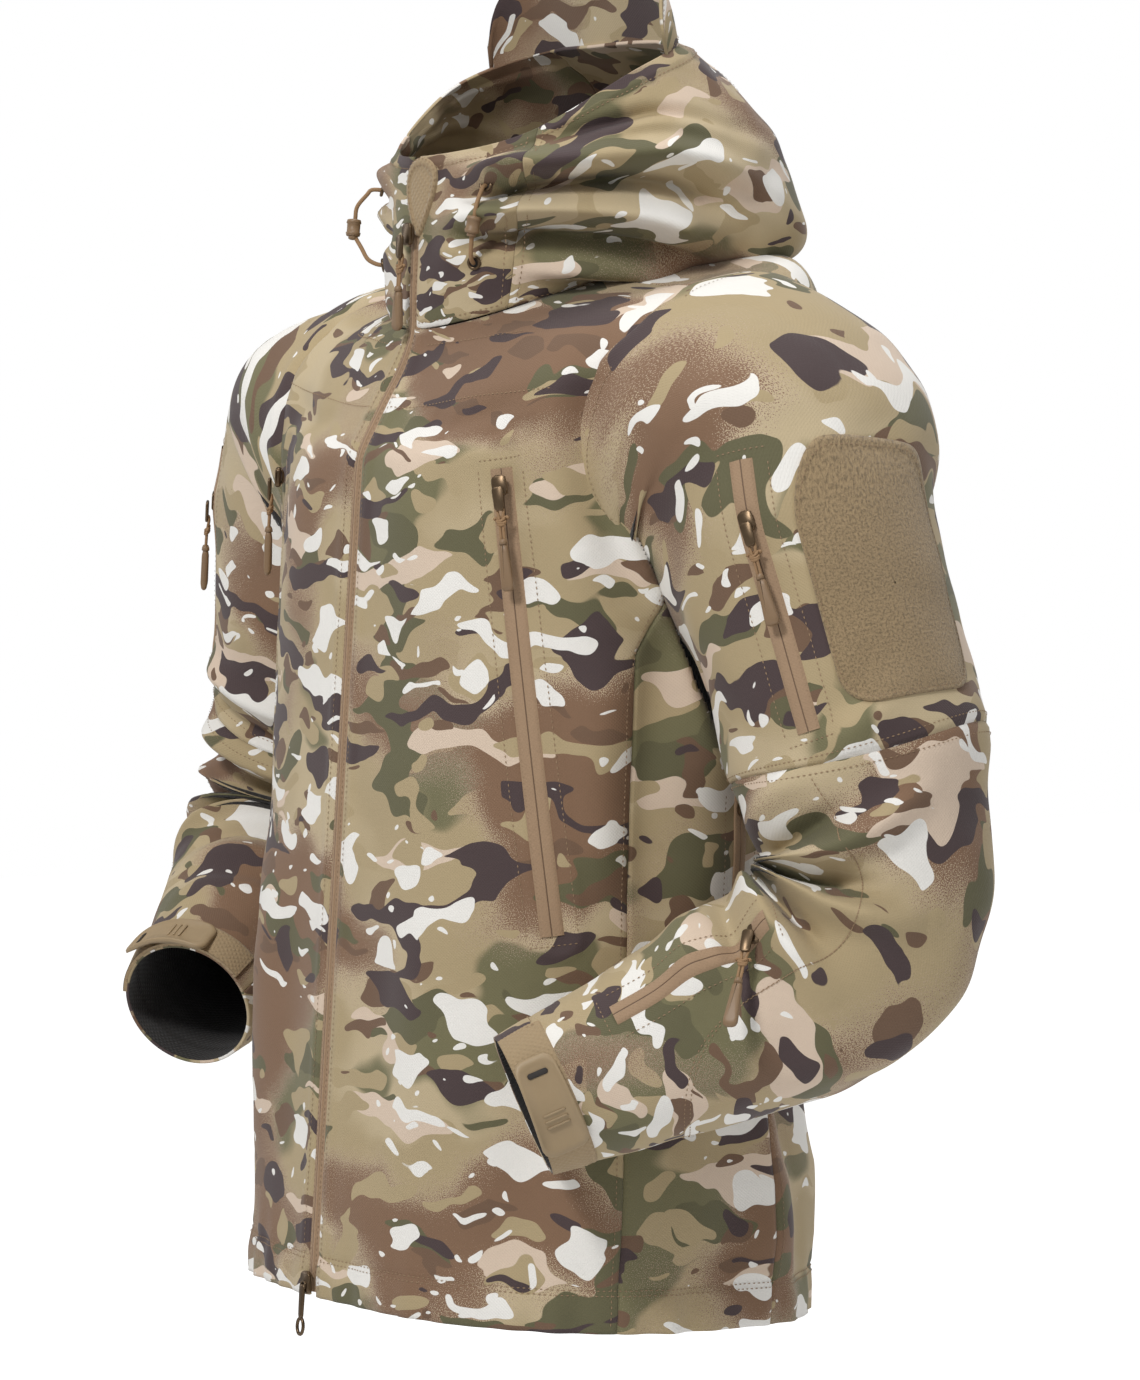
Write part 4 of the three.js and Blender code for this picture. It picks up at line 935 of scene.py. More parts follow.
def from_arm_zip(sleeve, points):
    """How far points are from the line that the arm zip's slider runs along, and from where it rests."""
    rest = np.mean(np.array(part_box(f"arm_zip_{sleeve.name}_slider")), axis=0)
    way = np.array(JOINTS[f"arm_zip_{sleeve.name}_slide"]["axis"]) * -0.15
    share = np.clip((points - rest) @ way / (way @ way), 0, 1)
    return np.linalg.norm(
        points - rest - share[..., None] * way, axis=-1
    ), np.linalg.norm(points - rest, axis=-1)


def sleeve_cloth(sleeve, turn, distance, relief=True):
    """Outer points of a sleeve's cloth, with its folds and shoulder cap; the fill where it joins the body is
    added later, where each sleeve is built.
    """
    points, around = sleeve.surface(turn, distance)
    elbow_at = (sleeve.bend_at + sleeve.elbow_end) / 2 - 0.02
    round_inner = wrapped(turn - inner_turn(sleeve)) * 0.075
    flat = np.stack([round_inner, distance - elbow_at], -1)
    raised = 1.4 * folds(flat, SLEEVE_FOLDS[sleeve.name])
    if sleeve.name == "left":
        raised = raised * (1 - 0.85 * np.exp(-((round_inner / 0.035) ** 2)))
    seed = 40 if sleeve.name == "left" else 50
    swell = soft_noise(points, 0.11, seed) * 0.0022 + soft_noise(points, 0.05, seed + 1) * 0.0008
    calm = np.clip(
        (distance - sleeve.table[0] - 0.03) / 0.05, 0, 1
    ) * np.clip((sleeve.length - 0.01 - distance) / 0.03, 0, 1)
    corner = 0.35 + 0.65 * np.exp(-(((np.abs(wrapped(turn)) - 0.87) / 0.6) ** 2))
    cap = 0.020 * corner * np.exp(-(((distance - 0.05) / 0.055) ** 2)) * np.clip(np.cos(turn) + 0.6, 0, 1)
    points = points + around * cap[..., None]
    if relief:
        from_line, from_rest = from_arm_zip(sleeve, points)
        stiffened = 1 - 0.9 * np.exp(-((from_line / 0.020) ** 2))
        pulled_out = (0.0030 if sleeve.name == "right" else 0.0) * np.exp(-((from_rest / 0.032) ** 2))
        points = points + around * ((raised + swell) * calm * stiffened + pulled_out)[..., None]
    return points, around


def armhole(sleeve, columns):
    """For each direction round the sleeve, how far along it comes out of the body."""
    turns = np.linspace(-np.pi, np.pi, columns)
    tries = np.linspace(0.0, sleeve.seam_at - 0.02, 60)
    turn, distance = np.meshgrid(turns, tries, indexing="ij")
    points, _ = sleeve_cloth(sleeve, turn, distance, relief=False)
    outside = distance_outside_body(points)
    start = np.zeros(columns)
    for i, row in enumerate(outside):
        inside = np.nonzero(row < 0)[0]
        start[i] = tries[inside[-1]] if len(inside) else 0
    ring = start[:-1]
    ring = np.min([np.roll(ring, k) for k in range(-4, 5)], axis=0)
    ring = np.concatenate([ring] * 3)
    spread = np.exp(-0.5 * (np.arange(-6, 7) / 2.5) ** 2)
    ring = np.convolve(ring, spread / spread.sum(), "same")[columns - 1 : 2 * columns - 2]
    return np.append(ring, ring[0])


SLEEVE_COLUMNS = 200
SLEEVE_GRIDS = {}
ELBOW_BLEND = {}
for sleeve in SLEEVES.values():
    columns = SLEEVE_COLUMNS
    turns = np.linspace(-np.pi, np.pi, columns + 1)
    begin = np.clip(armhole(sleeve, columns + 1) - 0.014, 0.002, None)
    seam = sleeve.seam_at + 0.004 * np.sin(turns * 2)
    rows = 90
    share = np.linspace(0, 1, rows)[:, None]
    distance = begin[None, :] * (1 - share) + seam[None, :] * share
    turn = np.broadcast_to(turns[None, :], distance.shape)
    points, around = sleeve_cloth(sleeve, turn, distance)
    gap = np.full(distance.shape, 1.0)
    near = share[:, 0] < 0.55
    gap[near] = distance_outside_body(points[near])
    lift = np.clip(-soft_union(np.zeros(gap.shape), gap), 0, 0.03) * 1.0
    lap = 0.0018 * np.exp(-(((distance - begin[None, :] - 0.004) / 0.010) ** 2))
    points = points + around * (lift + lap)[..., None]
    points[:, -1] = points[:, 0]
    turned = 0.0070 * np.exp(-(((distance - begin[None, :]) / 0.0050) ** 2))
    turned = turned + 0.0013 * np.exp(-(((seam[None, :] - distance) / 0.0016) ** 2))
    points = points - around * turned[..., None]
    mean_radius = 0.082
    flat = np.stack([turn * mean_radius + 11.3 + sleeve.side, -distance + 3.1 + sleeve.side], -1)
    name = f"sleeve_cloth_upper_{sleeve.name}"
    piece = cloth_piece(name, points, flat, [f"sleeve_upper_{sleeve.name}"], [CAMO, LINING])
    attach(piece, JACKET)

    rows = int((sleeve.length - sleeve.seam_at) / 0.0024)
    share = np.linspace(0, 1, rows)[:, None]
    share = np.concatenate([[[0], [0.003], [0.007]], share[4:-3], [[0.990], [0.996], [1]]])
    lower = seam[None, :] * (1 - share) + sleeve.length * share
    turn = np.broadcast_to(turns[None, :], lower.shape)
    wrist, around = sleeve_cloth(sleeve, turn, lower)
    from_edge = lower - seam[None, :]
    wrist = wrist - around * (0.0013 * np.exp(-((from_edge / 0.0016) ** 2)))[..., None]
    hem = np.clip((lower - (sleeve.length - 0.024)) / 0.003, 0, 1)
    wrist = wrist + around * (0.0009 * hem)[..., None]
    wrist[:, -1] = wrist[:, 0]
    flat = np.stack([turn * 0.072 + 14.7 + sleeve.side * 2, -lower + 7.9 + sleeve.side], -1)
    name = f"sleeve_cloth_lower_{sleeve.name}"
    nodes = [f"sleeve_elbow_{sleeve.name}", f"sleeve_forearm_{sleeve.name}"]
    piece = cloth_piece(name, wrist, flat, nodes, [CAMO, LINING])
    along = sleeve.at(np.array([sleeve.bend_at + 0.004, sleeve.elbow_end - 0.004]))[1]
    onward = unit(along[0] + 0.4 * along[1])
    pivot = np.array(JOINTS[f"elbow_{sleeve.name}"]["pos_m"])
    past_elbow = sleeve_cloth(sleeve, turn[:1], np.full_like(turn[:1], sleeve.elbow_end))[0]
    still_until = np.max((wrist[0] - pivot) @ onward)
    turned_from = np.min((past_elbow - pivot) @ onward)
    ELBOW_BLEND[sleeve.name] = (
        "jacket",
        f"forearm_{sleeve.name}",
        tuple(pivot + onward * still_until),
        tuple(pivot + onward * turned_from),
    )
    attach(piece, ELBOW_BLEND[sleeve.name])
    SLEEVE_GRIDS[sleeve.name] = [(points, None), (wrist, None)]

SLEEVE_COVER = {name: Cover(grids) for name, grids in SLEEVE_GRIDS.items()}


# ---------------------------------------------------------------- Hood and collar
# Rows from the neck seam outwards and up to the rim, at 0, 45, 90, 135 and 180 degrees round from the front.
HOOD_ROWS = np.array([
    [(0, -103, 0), (0, -103, 22), (0, -102, 44), (0, -101, 66), (0, -100, 88), (0, -99, 110)],
    [(58, -80, 10), (62, -82, 32), (66, -84, 56), (70, -82, 80), (73, -76, 100), (72, -66, 122)],
    [(78, -2, 33), (105, 10, 45), (122, 18, 75), (126, 16, 110), (120, 8, 140), (104, -8, 160)],
    [(60, 74, 56), (106, 106, 42), (120, 118, 67), (112, 98, 116), (101, 71, 156), (86, 41, 182)],
    [(0, 98, 65), (0, 132, 52), (0, 162, 68), (0, 146, 112), (0, 108, 164), (0, 42, 185)],
]) / 1000.0


def curve_weights(place, count):
    """Catmull-Rom: the four rows to mix at a place from 0 to count - 1, and how much of each."""
    low = np.clip(np.floor(place).astype(int), 0, count - 2)
    t = place - low
    weights = [
        -0.5 * t + t**2 - 0.5 * t**3,
        1 - 2.5 * t**2 + 1.5 * t**3,
        0.5 * t + 2 * t**2 - 1.5 * t**3,
        -0.5 * t**2 + 0.5 * t**3,
    ]
    return low, weights


def hood_surface(angle, share):
    """A point of the hood: an angle round from the front and a share of the way from neck to rim."""
    angle, share = np.broadcast_arrays(np.asarray(angle, float), np.asarray(share, float))
    mirrored = HOOD_ROWS * (-1, 1, 1)
    loop = np.concatenate([mirrored[1:4][::-1], HOOD_ROWS, mirrored[1:4][::-1], HOOD_ROWS[:2]])
    turn = np.degrees(wrapped(angle)) / 45 + 3
    low = np.floor(turn).astype(int)
    _, across = curve_weights(turn - low, 2)
    run = np.clip(share, 0, 1) * 5
    start, along = curve_weights(run, 6)
    total = 0
    for i in range(4):
        column = (low + i - 1) % 8
        for j in range(4):
            row = start + j - 1
            value = loop[column, np.clip(row, 0, 5)]
            before = 2 * loop[column, 0] - loop[column, 1]
            after = 2 * loop[column, 5] - loop[column, 4]
            value = np.where((row < 0)[..., None], before, np.where((row > 5)[..., None], after, value))
            total = total + value * (across[i] * along[j])[..., None]
    over = (share - np.clip(share, 0, 1))[..., None]
    return total + over * (0, 0.0, 0.05)


# Creases of the hood: (degrees round from the front, share of the way up), width and height in metres.
HOOD_FOLDS = [
    ([(24, 0.88), (46, 0.80), (74, 0.66), (104, 0.52), (124, 0.42)], 0.011, 0.013),
    ([(28, 0.72), (50, 0.65), (76, 0.54), (106, 0.40)], 0.006, -0.013),
    ([(34, 0.58), (54, 0.53), (80, 0.42), (106, 0.30)], 0.009, 0.012),
    ([(24, 0.52), (36, 0.44), (50, 0.38), (62, 0.37)], 0.007, -0.012),
    ([(44, 0.40), (62, 0.34), (86, 0.24), (108, 0.18)], 0.006, -0.010),
    ([(54, 0.24), (80, 0.16), (110, 0.12)], 0.010, 0.006),
    ([(58, 0.90), (84, 0.80), (112, 0.66), (138, 0.58)], 0.006, -0.006),
    ([(66, 0.82), (90, 0.74), (120, 0.62), (150, 0.55)], 0.008, 0.005),
    ([(76, 0.62), (100, 0.50), (124, 0.42)], 0.006, -0.008),
    ([(150, 0.44), (166, 0.38), (179, 0.36)], 0.010, -0.004),
    ([(120, 0.95), (126, 0.75), (140, 0.58)], 0.012, 0.003),
]


def hood_flat(angle, share):
    """Where a place on the hood is on the flat cloth, in metres, taking the shorter way round."""
    return np.stack([wrapped(angle) * 0.105, share * 0.17], -1)


def hood_cloth(angle, share):
    points = hood_surface(angle, share)
    normal = surface_normal(hood_surface, angle, share, 0.004)
    flat = hood_flat(angle, share)
    recipe = [
        ([tuple(hood_flat(np.radians(a), np.array(s))) for a, s in line], width, height) for line, width,
        height in HOOD_FOLDS
    ]
    right_side = wrapped(angle) < 0
    mirrored = np.stack([np.abs(flat[..., 0]), flat[..., 1]], -1)
    fade = np.clip((math.radians(128) - np.abs(wrapped(angle))) / math.radians(34), 0.3, 1)
    raised = folds(mirrored, recipe) * np.where(right_side, 0.7, 1.75) * fade
    swell = soft_noise(points, 0.09, 60) * 0.0026 + soft_noise(points, 0.04, 61) * 0.0009
    calm = np.clip(share / 0.08, 0, 1) * np.clip((1.0 - share) / 0.06, 0.15, 1)
    calm = calm * np.clip((np.abs(wrapped(angle)) - math.radians(9)) / math.radians(16), 0, 1)
    rim = 0.0013 * np.clip((share - 0.93) / 0.01, 0, 1)
    return points + normal * ((raised + swell) * calm + rim)[..., None], normal


HOOD_BLEND = ("jacket", "hood", (0, -0.05, 0.09), (0, 0.045, 0.13))
COLLAR_FROM, COLLAR_TO = math.radians(2.6), math.radians(52)


def hood_panel(name, low, high, columns, rows, nodes, bodies, shift, seams=True):
    share = np.concatenate([[0, 0.006, 0.014], np.linspace(0.02, 0.985, rows), [0.993, 1.0]])[:, None]
    width = (high - low) * 0.1
    angle = low + (high - low) * panel_shares(columns, width)[None, :]
    angle, share = np.broadcast_arrays(angle, share)
    points, normal = hood_cloth(angle, share)
    if seams:
        points = roll_edges(points, normal, (angle - low) / (high - low), width, 0.0009)
    points = points - normal * (0.0012 * np.exp(-((share * 0.17 / 0.002) ** 2)))[..., None]
    flat = np.stack([angle * 0.135 + shift[0], share * 0.20 + shift[1]], -1)
    piece = cloth_piece(name, points, flat, nodes, [CAMO, CAMO])
    attach(piece, bodies)
    return points


hood_grids = [
    hood_panel("collar_cloth_left", COLLAR_FROM, COLLAR_TO, 44, 70, ["collar_left"], JACKET, (20.1, 1.0)),
    hood_panel("collar_cloth_right", -COLLAR_TO, -COLLAR_FROM, 44, 70, ["collar_right"], JACKET, (22.3, 2.0)),
    hood_panel(
        "hood_cloth_left", COLLAR_TO, math.radians(150), 80, 90, ["hood_side_left", "hood_base"], HOOD_BLEND,
        (31.4, 6.2)
    ),
    hood_panel(
        "hood_cloth_centre", math.radians(150), math.radians(210), 52, 90, ["hood_centre"], HOOD_BLEND,
        (26.2, 4.1)
    ),
    hood_panel(
        "hood_cloth_right", math.radians(210), 2 * np.pi - COLLAR_TO, 80, 90, ["hood_side_right"], HOOD_BLEND,
        (28.9, 5.2)
    ),
]
HOOD_COVER = Cover([(grid, None) for grid in hood_grids])
hood_path = lambda line, step=0.002: surface_path(hood_surface, line, step)

VISOR_HALF, VISOR_DEPTH = math.radians(66), 0.058
VISOR_RISE = unit(np.array((0, -0.35, 0.94)))


def visor_cloth():
    """The stiff peak that stands up from the hood's rim."""
    turn = np.linspace(-1, 1, 90)[None, :]
    up = np.concatenate([[0, 0.03], np.linspace(0.06, 0.97, 30), [0.99, 1.0]])[:, None]
    turn, up = np.broadcast_arrays(turn, up)
    base = hood_surface(np.pi + turn * VISOR_HALF, np.full(turn.shape, 0.985)) + (0, 0, 0.0007)
    crown = np.sqrt(np.clip(1 - np.abs(turn) ** 3.2, 0, 1))
    out = unit(base * (1, 1, 0) - (0, 0.03, 0))
    depth = VISOR_DEPTH * crown * up
    bulge = np.sin(np.pi * up * 0.9) * 0.004 * crown
    points = base + VISOR_RISE * depth[..., None] + out * bulge[..., None]
    points = points + out * (soft_noise(points, 0.06, 70) * 0.0016 * up)[..., None]
    hem = np.clip(1 - (1 - up) * VISOR_DEPTH / 0.006, 0, 1)
    points = points + out * (0.0007 * hem)[..., None]
    flat = np.stack([turn * 0.12 + 31.0, up * VISOR_DEPTH + 6.4], -1)
    piece = cloth_piece("visor_cloth", points, flat, ["hood_visor"], [CAMO, CAMO])
    attach(piece, ("visor",))
    return points


VISOR_GRID = visor_cloth()


# ---------------------------------------------------------------- Small parts
def body_of_axes(origin, across, up):
    """Turns points in millimetres, given across, up and out of the cloth, into the jacket's frame."""
    across, up = unit(np.array(across, float)), np.array(up, float)
    up = unit(up - across * np.dot(up, across))
    axes = np.stack([across, up, np.cross(across, up)])
    return lambda points: np.asarray(origin, float) + np.asarray(points, float) / 1000 @ axes


def rounded_outline(width, length, corner, taper=1.0, count=8):
    """A rounded rectangle round the middle; the top is narrower by the taper."""
    points = []
    for sx, sy, start in ((1, 1, 0), (-1, 1, 90), (-1, -1, 180), (1, -1, 270)):
        half = width / 2 * (taper if sy > 0 else 1)
        for turn in np.radians(np.linspace(start, start + 90, count)):
            x = sx * (half - corner) + corner * math.cos(turn)
            y = sy * (length / 2 - corner) + corner * math.sin(turn)
            points.append((x, y))
    return np.array(points)


def plate(outline, levels, centre=(0, 0)):
    """A solid with one outline: levels are (share of the outline, height), from bottom to top."""
    centre = np.array(centre, float)
    rings = [
        np.column_stack([centre + (outline - centre) * share, np.full(len(outline), height)]) for share,
        height in levels
    ]
    faces = [tuple(int(i) for i in f) for f in grid_faces(len(rings), len(outline), True)]
    last = (len(rings) - 1) * len(outline)
    faces.append(tuple(reversed(range(len(outline)))))
    faces.append(tuple(range(last, last + len(outline))))
    return np.concatenate(rings), faces


def placed(part, place):
    return place(part[0]), part[1]


def solid_piece(name, parts, material, bodies, nodes=()):
    points, faces = join_meshes(parts)
    piece = mesh_object(name, points, faces, [material])
    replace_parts(piece, *nodes) if nodes else None
    attach(piece, bodies)
    return piece


def middle_of(node):
    low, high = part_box(node)
    return np.array((low + high) / 2)


def zip_slider(name, size=1.0):
    """The metal slider of one zip: two plates, the neck between them and the bridge that holds the pull."""
    joint = JOINTS[f"{name}_slide"]
    up = np.array(joint["axis"])
    lift = JOINTS.get(f"{name}_pull_lift")
    centre = middle_of(f"{name}_slider")
    if lift:
        across = np.array(lift["axis"])
    else:
        across = unit(np.cross(up, centre * (1, 1, 0)))
    place = body_of_axes(centre, across, up)
    body = rounded_outline(9.0 * size, 13.0 * size, 2.6 * size, 0.82)
    crown = plate(body, [(0.9, -1.9), (1.0, -1.5), (1.0, 0.2), (0.94, 0.9), (0.84, 1.1)])
    flange_low = plate(
        rounded_outline(9.6 * size, 12.0 * size, 3), [(0.94, -2.2), (1, -1.9), (1, -1.3), (0.94, -1.1)]
    )
    arch = [
        (0, 4.6, 0.6), (0, 4.3, 1.7), (0, 2.6, 2.5), (0, 0, 2.7), (0, -2.6, 2.4), (0, -4.0, 1.6),
        (0, -4.2, 0.6)
    ]
    bridge = tube_mesh(smooth_path(np.array(arch) * (1, size, 1), 0.6), 0.85, 8)
    rails = [
        tube_mesh(
            smooth_path(
                [
                    (s * 3.9 * size, -5.6 * size, 0.4), (s * 4.1 * size, 0, 0.5),
                    (s * 3.3 * size, 5.4 * size, 0.4)
                ],
                0.8
            ),
            0.6, 6
        )
        for s in (-1, 1)
    ]
    parts = [placed(p, place) for p in (crown, flange_low, bridge, *rails)]
    solid_piece(f"{name}_slider_metal", parts, METAL, (f"{name}_slider",), [f"{name}_slider"])


def knot_of(y, z, cord):
    """An overhand knot in a doubled cord, as three crossed loops."""
    loops = []
    for tilt, wide, shift in ((0.5, 2.6, 0.0), (-0.6, 2.4, 1.3), (0.1, 2.2, -1.4)):
        turns = np.linspace(0, 2 * np.pi, 17)
        up = y + shift + np.sin(turns) * 1.2 + np.cos(turns) * tilt
        ring = np.column_stack([wide * np.cos(turns), up, z + 1.3 * np.sin(turns)])
        loops.append(tube_mesh(ring, cord, 7))
    for s in (-1, 1):
        loose_end = [(s * 0.6, y, z + 0.8), (s * 3.4, y + 2.4, z + 1.0), (s * 4.6, y + 1.2, z + 0.4)]
        loops.append(tube_mesh(smooth_path(loose_end, 0.7), cord, 7))
    return loops


def cord_pull(name, end_width=8.0, end_length=30.0):
    """A pull: metal tab on the slider, a knotted cord through it and a flat moulded end."""
    lift = JOINTS[f"{name}_pull_lift"]
    hinge, across, up = (np.array(v) for v in (lift["pos_m"], lift["axis"], JOINTS[f"{name}_slide"]["axis"]))
    node = f"{name}_pull"
    place = body_of_axes(hinge, across, up)
    out = np.cross(unit(across), unit(up))
    z = float(np.dot(middle_of(node) - hinge, out)) * 1000
    tab_outline = rounded_outline(6.4, 15.0, 2.4, 1.15) + (0, -5.5)
    tab = plate(tab_outline, [(0.92, z - 0.9), (1, z - 0.6), (1, z + 0.6), (0.9, z + 0.9)], (0, -5.5))
    # The eye is a thin dark plate on the tab: painted shade standing in for the hole that the cord passes
    # through.
    eye = plate(rounded_outline(2.8, 4.0, 1.3) + (0, -9.4), [(1, z + 0.7), (0.9, z + 1.0)], (0, -9.4))
    solid_piece(f"{name}_pull_tab", [placed(tab, place)], METAL, (node,), [node])
    solid_piece(f"{name}_pull_eye", [placed(eye, place)], DARK, (node,))
    radius, low = 0.95, -33.0
    strands = []
    for s in (-1, 1):
        strand = [
            (s * 0.3, -9.0, z + 1.2), (s * 1.9, -12.5, z + 1.5), (s * 1.3, -17, z + 0.9),
            (s * 0.8, -21, z + 0.6)
        ]
        strands.append(tube_mesh(smooth_path(strand, 0.7), radius, 8))
        below = [(s * 0.9, -20, z + 0.4), (s * 1.05, -27, z + 0.2), (s * 0.9, low - 2, z)]
        strands.append(tube_mesh(smooth_path(below, 0.7), radius, 8))
    parts = strands + knot_of(-19.5, z + 0.6, radius)
    solid_piece(f"{name}_pull_cord", [placed(p, place) for p in parts], CORD, (node,), ())
    middle_y = low - end_length / 2
    outline = rounded_outline(end_width, end_length, end_width * 0.36, 0.66) + (0, middle_y)
    end = plate(
        outline,
        [(0.72, z - 2.3), (0.93, z - 1.7), (1, z - 0.6), (1, z + 0.6), (0.93, z + 1.7), (0.72, z + 2.3)],
        (0, middle_y)
    )
    collar = tube_mesh(
        np.array([(0, low + 2.4, z), (0, low + 1.0, z), (0, low - 1.0, z)]), [1.9, 2.5, 2.7], 12
    )
    solid_piece(
        f"{name}_pull_end", [placed(p, place) for p in (end, collar)], MOULDED, (node,), ()
    )


def long_pull():
    """The starting slider's long tab with a ring at its end."""
    name = "main_lower"
    lift = JOINTS[f"{name}_pull_lift"]
    hinge, across, up = (np.array(v) for v in (lift["pos_m"], lift["axis"], JOINTS[f"{name}_slide"]["axis"]))
    place = body_of_axes(hinge, across, up)
    z = float(np.dot(middle_of("main_lower_pull") - hinge, np.cross(unit(across), unit(up)))) * 1000
    bar = plate(
        rounded_outline(4.6, 22.0, 2.0, 1.2) + (0, -9.5),
        [(0.86, z - 0.9), (1, z - 0.6), (1, z + 0.6), (0.86, z + 0.9)], (0, -9.5)
    )
    turns = np.linspace(0, 2 * np.pi, 33)
    ring = tube_mesh(
        np.column_stack([3.7 * np.sin(turns), -25.5 + 5.2 * np.cos(turns), np.full(33, z)]), 1.15, 8, False
    )
    loop = tube_mesh(
        smooth_path(
            [(-2.6, -1, z), (-2.2, 2.2, z + 0.6), (0, 3.2, z + 0.8), (2.2, 2.2, z + 0.6), (2.6, -1, z)], 0.6
        ),
        0.8, 7
    )
    parts = [placed(p, place) for p in (bar, ring, loop)]
    solid_piece("main_lower_pull_metal", parts, METAL, ("main_lower_pull",), ["main_lower_pull"])


# ---------------------------------------------------------------- Zips
def pocket_zip(name, cover, line, bodies, half=0.0078):
    """A covered coil zip set in the cloth: the tape, the ridge down its middle and the bar tacks."""
    offsets = np.array((-1.0, -0.93, -0.55, -0.14, -0.05, 0, 0.05, 0.14, 0.55, 0.93, 1.0)) * half
    heights = np.array((-0.9, 0.5, 0.7, 1.3, 1.2, 0.5, 1.2, 1.3, 0.7, 0.5, -0.9)) / 1000
    slots = [0, 0, 0, 0, 1, 1, 0, 0, 0, 0]
    ribbon(f"{name}_tape", cover, line, offsets, heights, [TAPE, COIL], bodies, [name], slots)
    points, normals = line
    along = unit(np.gradient(points, axis=0))
    across = unit(np.cross(along, normals))
    rows = [
        (points + across * side, normals)
        for side in (-half + 0.0016, half - 0.0016, -half - 0.0085, half + 0.0085)
    ]
    for end in (0, -1):
        step = np.linspace(-half - 0.0085, half + 0.0085, 12)[:, None]
        beyond = along[end] * (0.006 if end else -0.006)
        rows.append((points[end] + beyond + across[end] * step, np.repeat(normals[end][None], 12, 0)))
    stitches(f"{name}_stitches", cover, rows, bodies)


def sleeve_line(sleeve, line, step=0.002):
    """A path on a sleeve; each point is (direction round in degrees, distance along)."""
    surface = lambda turn, distance: sleeve.surface(turn, distance)[0]
    steps = np.array([(math.radians(a) * 0.08, d, 0.0) for a, d in line])
    flat = smooth_path(steps, step)[:, :2]
    return surface(flat[:, 0] / 0.08, flat[:, 1]), surface_normal(surface, flat[:, 0] / 0.08, flat[:, 1])


for side, label in ((1, "left"), (-1, "right")):
    sleeve, cover = SLEEVES[label], SLEEVE_COVER[label]
    low, high = (side * float(girth_at(math.radians(56))), 0.2495), (
        side * float(girth_at(math.radians(38.5))), 0.5457
    )
    pocket_zip(f"chest_zip_{label}", BODY_COVER, body_path([low, high]), JACKET)
    pit = side * float(girth_at(math.radians(97)))
    pocket_zip(f"pit_zip_{label}", BODY_COVER, body_path([(pit, 0.2516), (pit, 0.3365)]), JACKET, 0.006)
    upper = lambda share: sleeve.top_at + share * (sleeve.seam_at - sleeve.top_at)
    pocket_zip(
        f"arm_zip_{label}", cover, sleeve_line(sleeve, [(side * 54, upper(0.9)), (side * 54, upper(-0.05))]),
        JACKET
    )
    zip_slider(f"chest_zip_{label}")
    zip_slider(f"pit_zip_{label}", 0.8)
    zip_slider(f"arm_zip_{label}")
    cord_pull(f"chest_zip_{label}")
    cord_pull(f"arm_zip_{label}", 9.0)

sleeve = SLEEVES["left"]
forearm = lambda sleeve, share: sleeve.elbow_end + share * (sleeve.length - sleeve.elbow_end)
FOREARM_LEFT = ("forearm_left",)
pocket_zip(
    "forearm_zip_left", SLEEVE_COVER["left"],
    sleeve_line(sleeve, [(52, forearm(sleeve, 0.62)), (52, forearm(sleeve, 0.02))]), FOREARM_LEFT, 0.0072
)
zip_slider("forearm_zip_left")
cord_pull("forearm_zip_left", 9.0)

# The front zip runs up the body and on up the collar.
rises = np.arange(0.003, NECK_RISE - 0.001, 0.002)
shares = np.arange(0.02, 0.972, 0.012)
front = np.concatenate([body_surface(0 * rises, rises), hood_surface(0 * shares, shares)])
front = np.stack([blurred(front[:, k], 4) for k in range(3)], -1)
rise_way = unit(np.gradient(front, axis=0))
front_out = unit(np.cross(np.array((1.0, 0, 0)), rise_way))
FRONT = (front, front_out)
mm = lambda *values: np.array(values) / 1000
ribbon(
    "front_tape_left", None, FRONT, mm(-8.5, -5, -2.2, -1.5), mm(-1.9, -0.8, -0.3, -0.4), [TAPE], JACKET,
    ["main_zip_tape_left"]
)
ribbon(
    "front_tape_right", None, FRONT, mm(1.5, 2.2, 5, 8.5), mm(-0.4, -0.3, -0.8, -1.9), [TAPE], JACKET,
    ["main_zip_tape_right"]
)
ribbon(
    "front_coil", None, FRONT, mm(-2.0, -1.9, -1.2, -0.3, 0, 0.3, 1.2, 1.9, 2.0),
    mm(-1.2, 0.1, 0.7, 0.6, 0.1, 0.6, 0.7, 0.1, -1.2), [TAPE, COIL], JACKET, ["main_zip_chain"],
    [0, 0, 0, 1, 1, 0, 0, 0]
)
stitches(
    "front_tape_stitches", None, [(front + np.array((side * 0.0036, 0, 0)), front_out) for side in (-1, 1)],
    JACKET, lift=-0.0003
)
zip_slider("main_lower", 1.1)
zip_slider("main_upper", 1.1)
long_pull()
cord_pull("main_upper", 9.0, 26.0)


# ---------------------------------------------------------------- Patches, cuffs and cords
def patch(name, at, outline, rings, material, bodies, nodes=(), cover=None):
    """A patch on a surface: at(x, y) gives points and normals; rings are (share of outline, height in mm)."""
    grid = np.stack([outline * share for share, _ in rings])
    points, normals = at(grid[..., 0], grid[..., 1])
    heights = np.array([height for _, height in rings])[:, None] / 1000
    points = cover.settle(
        points, normals, np.broadcast_to(heights, grid.shape[:2])
    ) if cover else points + normals * heights[..., None]
    faces = [tuple(int(i) for i in f) for f in grid_faces(len(rings), len(outline), True)]
    piece = mesh_object(name, points, faces, [material])
    lay_print(piece, grid)
    if nodes:
        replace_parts(piece, *nodes)
    attach(piece, bodies)
    return piece


def outline_path(at, outline, share):
    loop = np.concatenate([outline, outline[:1]]) * share
    counts = [max(2, int(np.linalg.norm(b - a) / 0.002)) for a, b in zip(loop, loop[1:])]
    sides = [np.linspace(a, b, count, endpoint=False) for a, b, count in zip(loop, loop[1:], counts)]
    dense = np.concatenate(sides)
    return at(dense[:, 0], dense[:, 1])


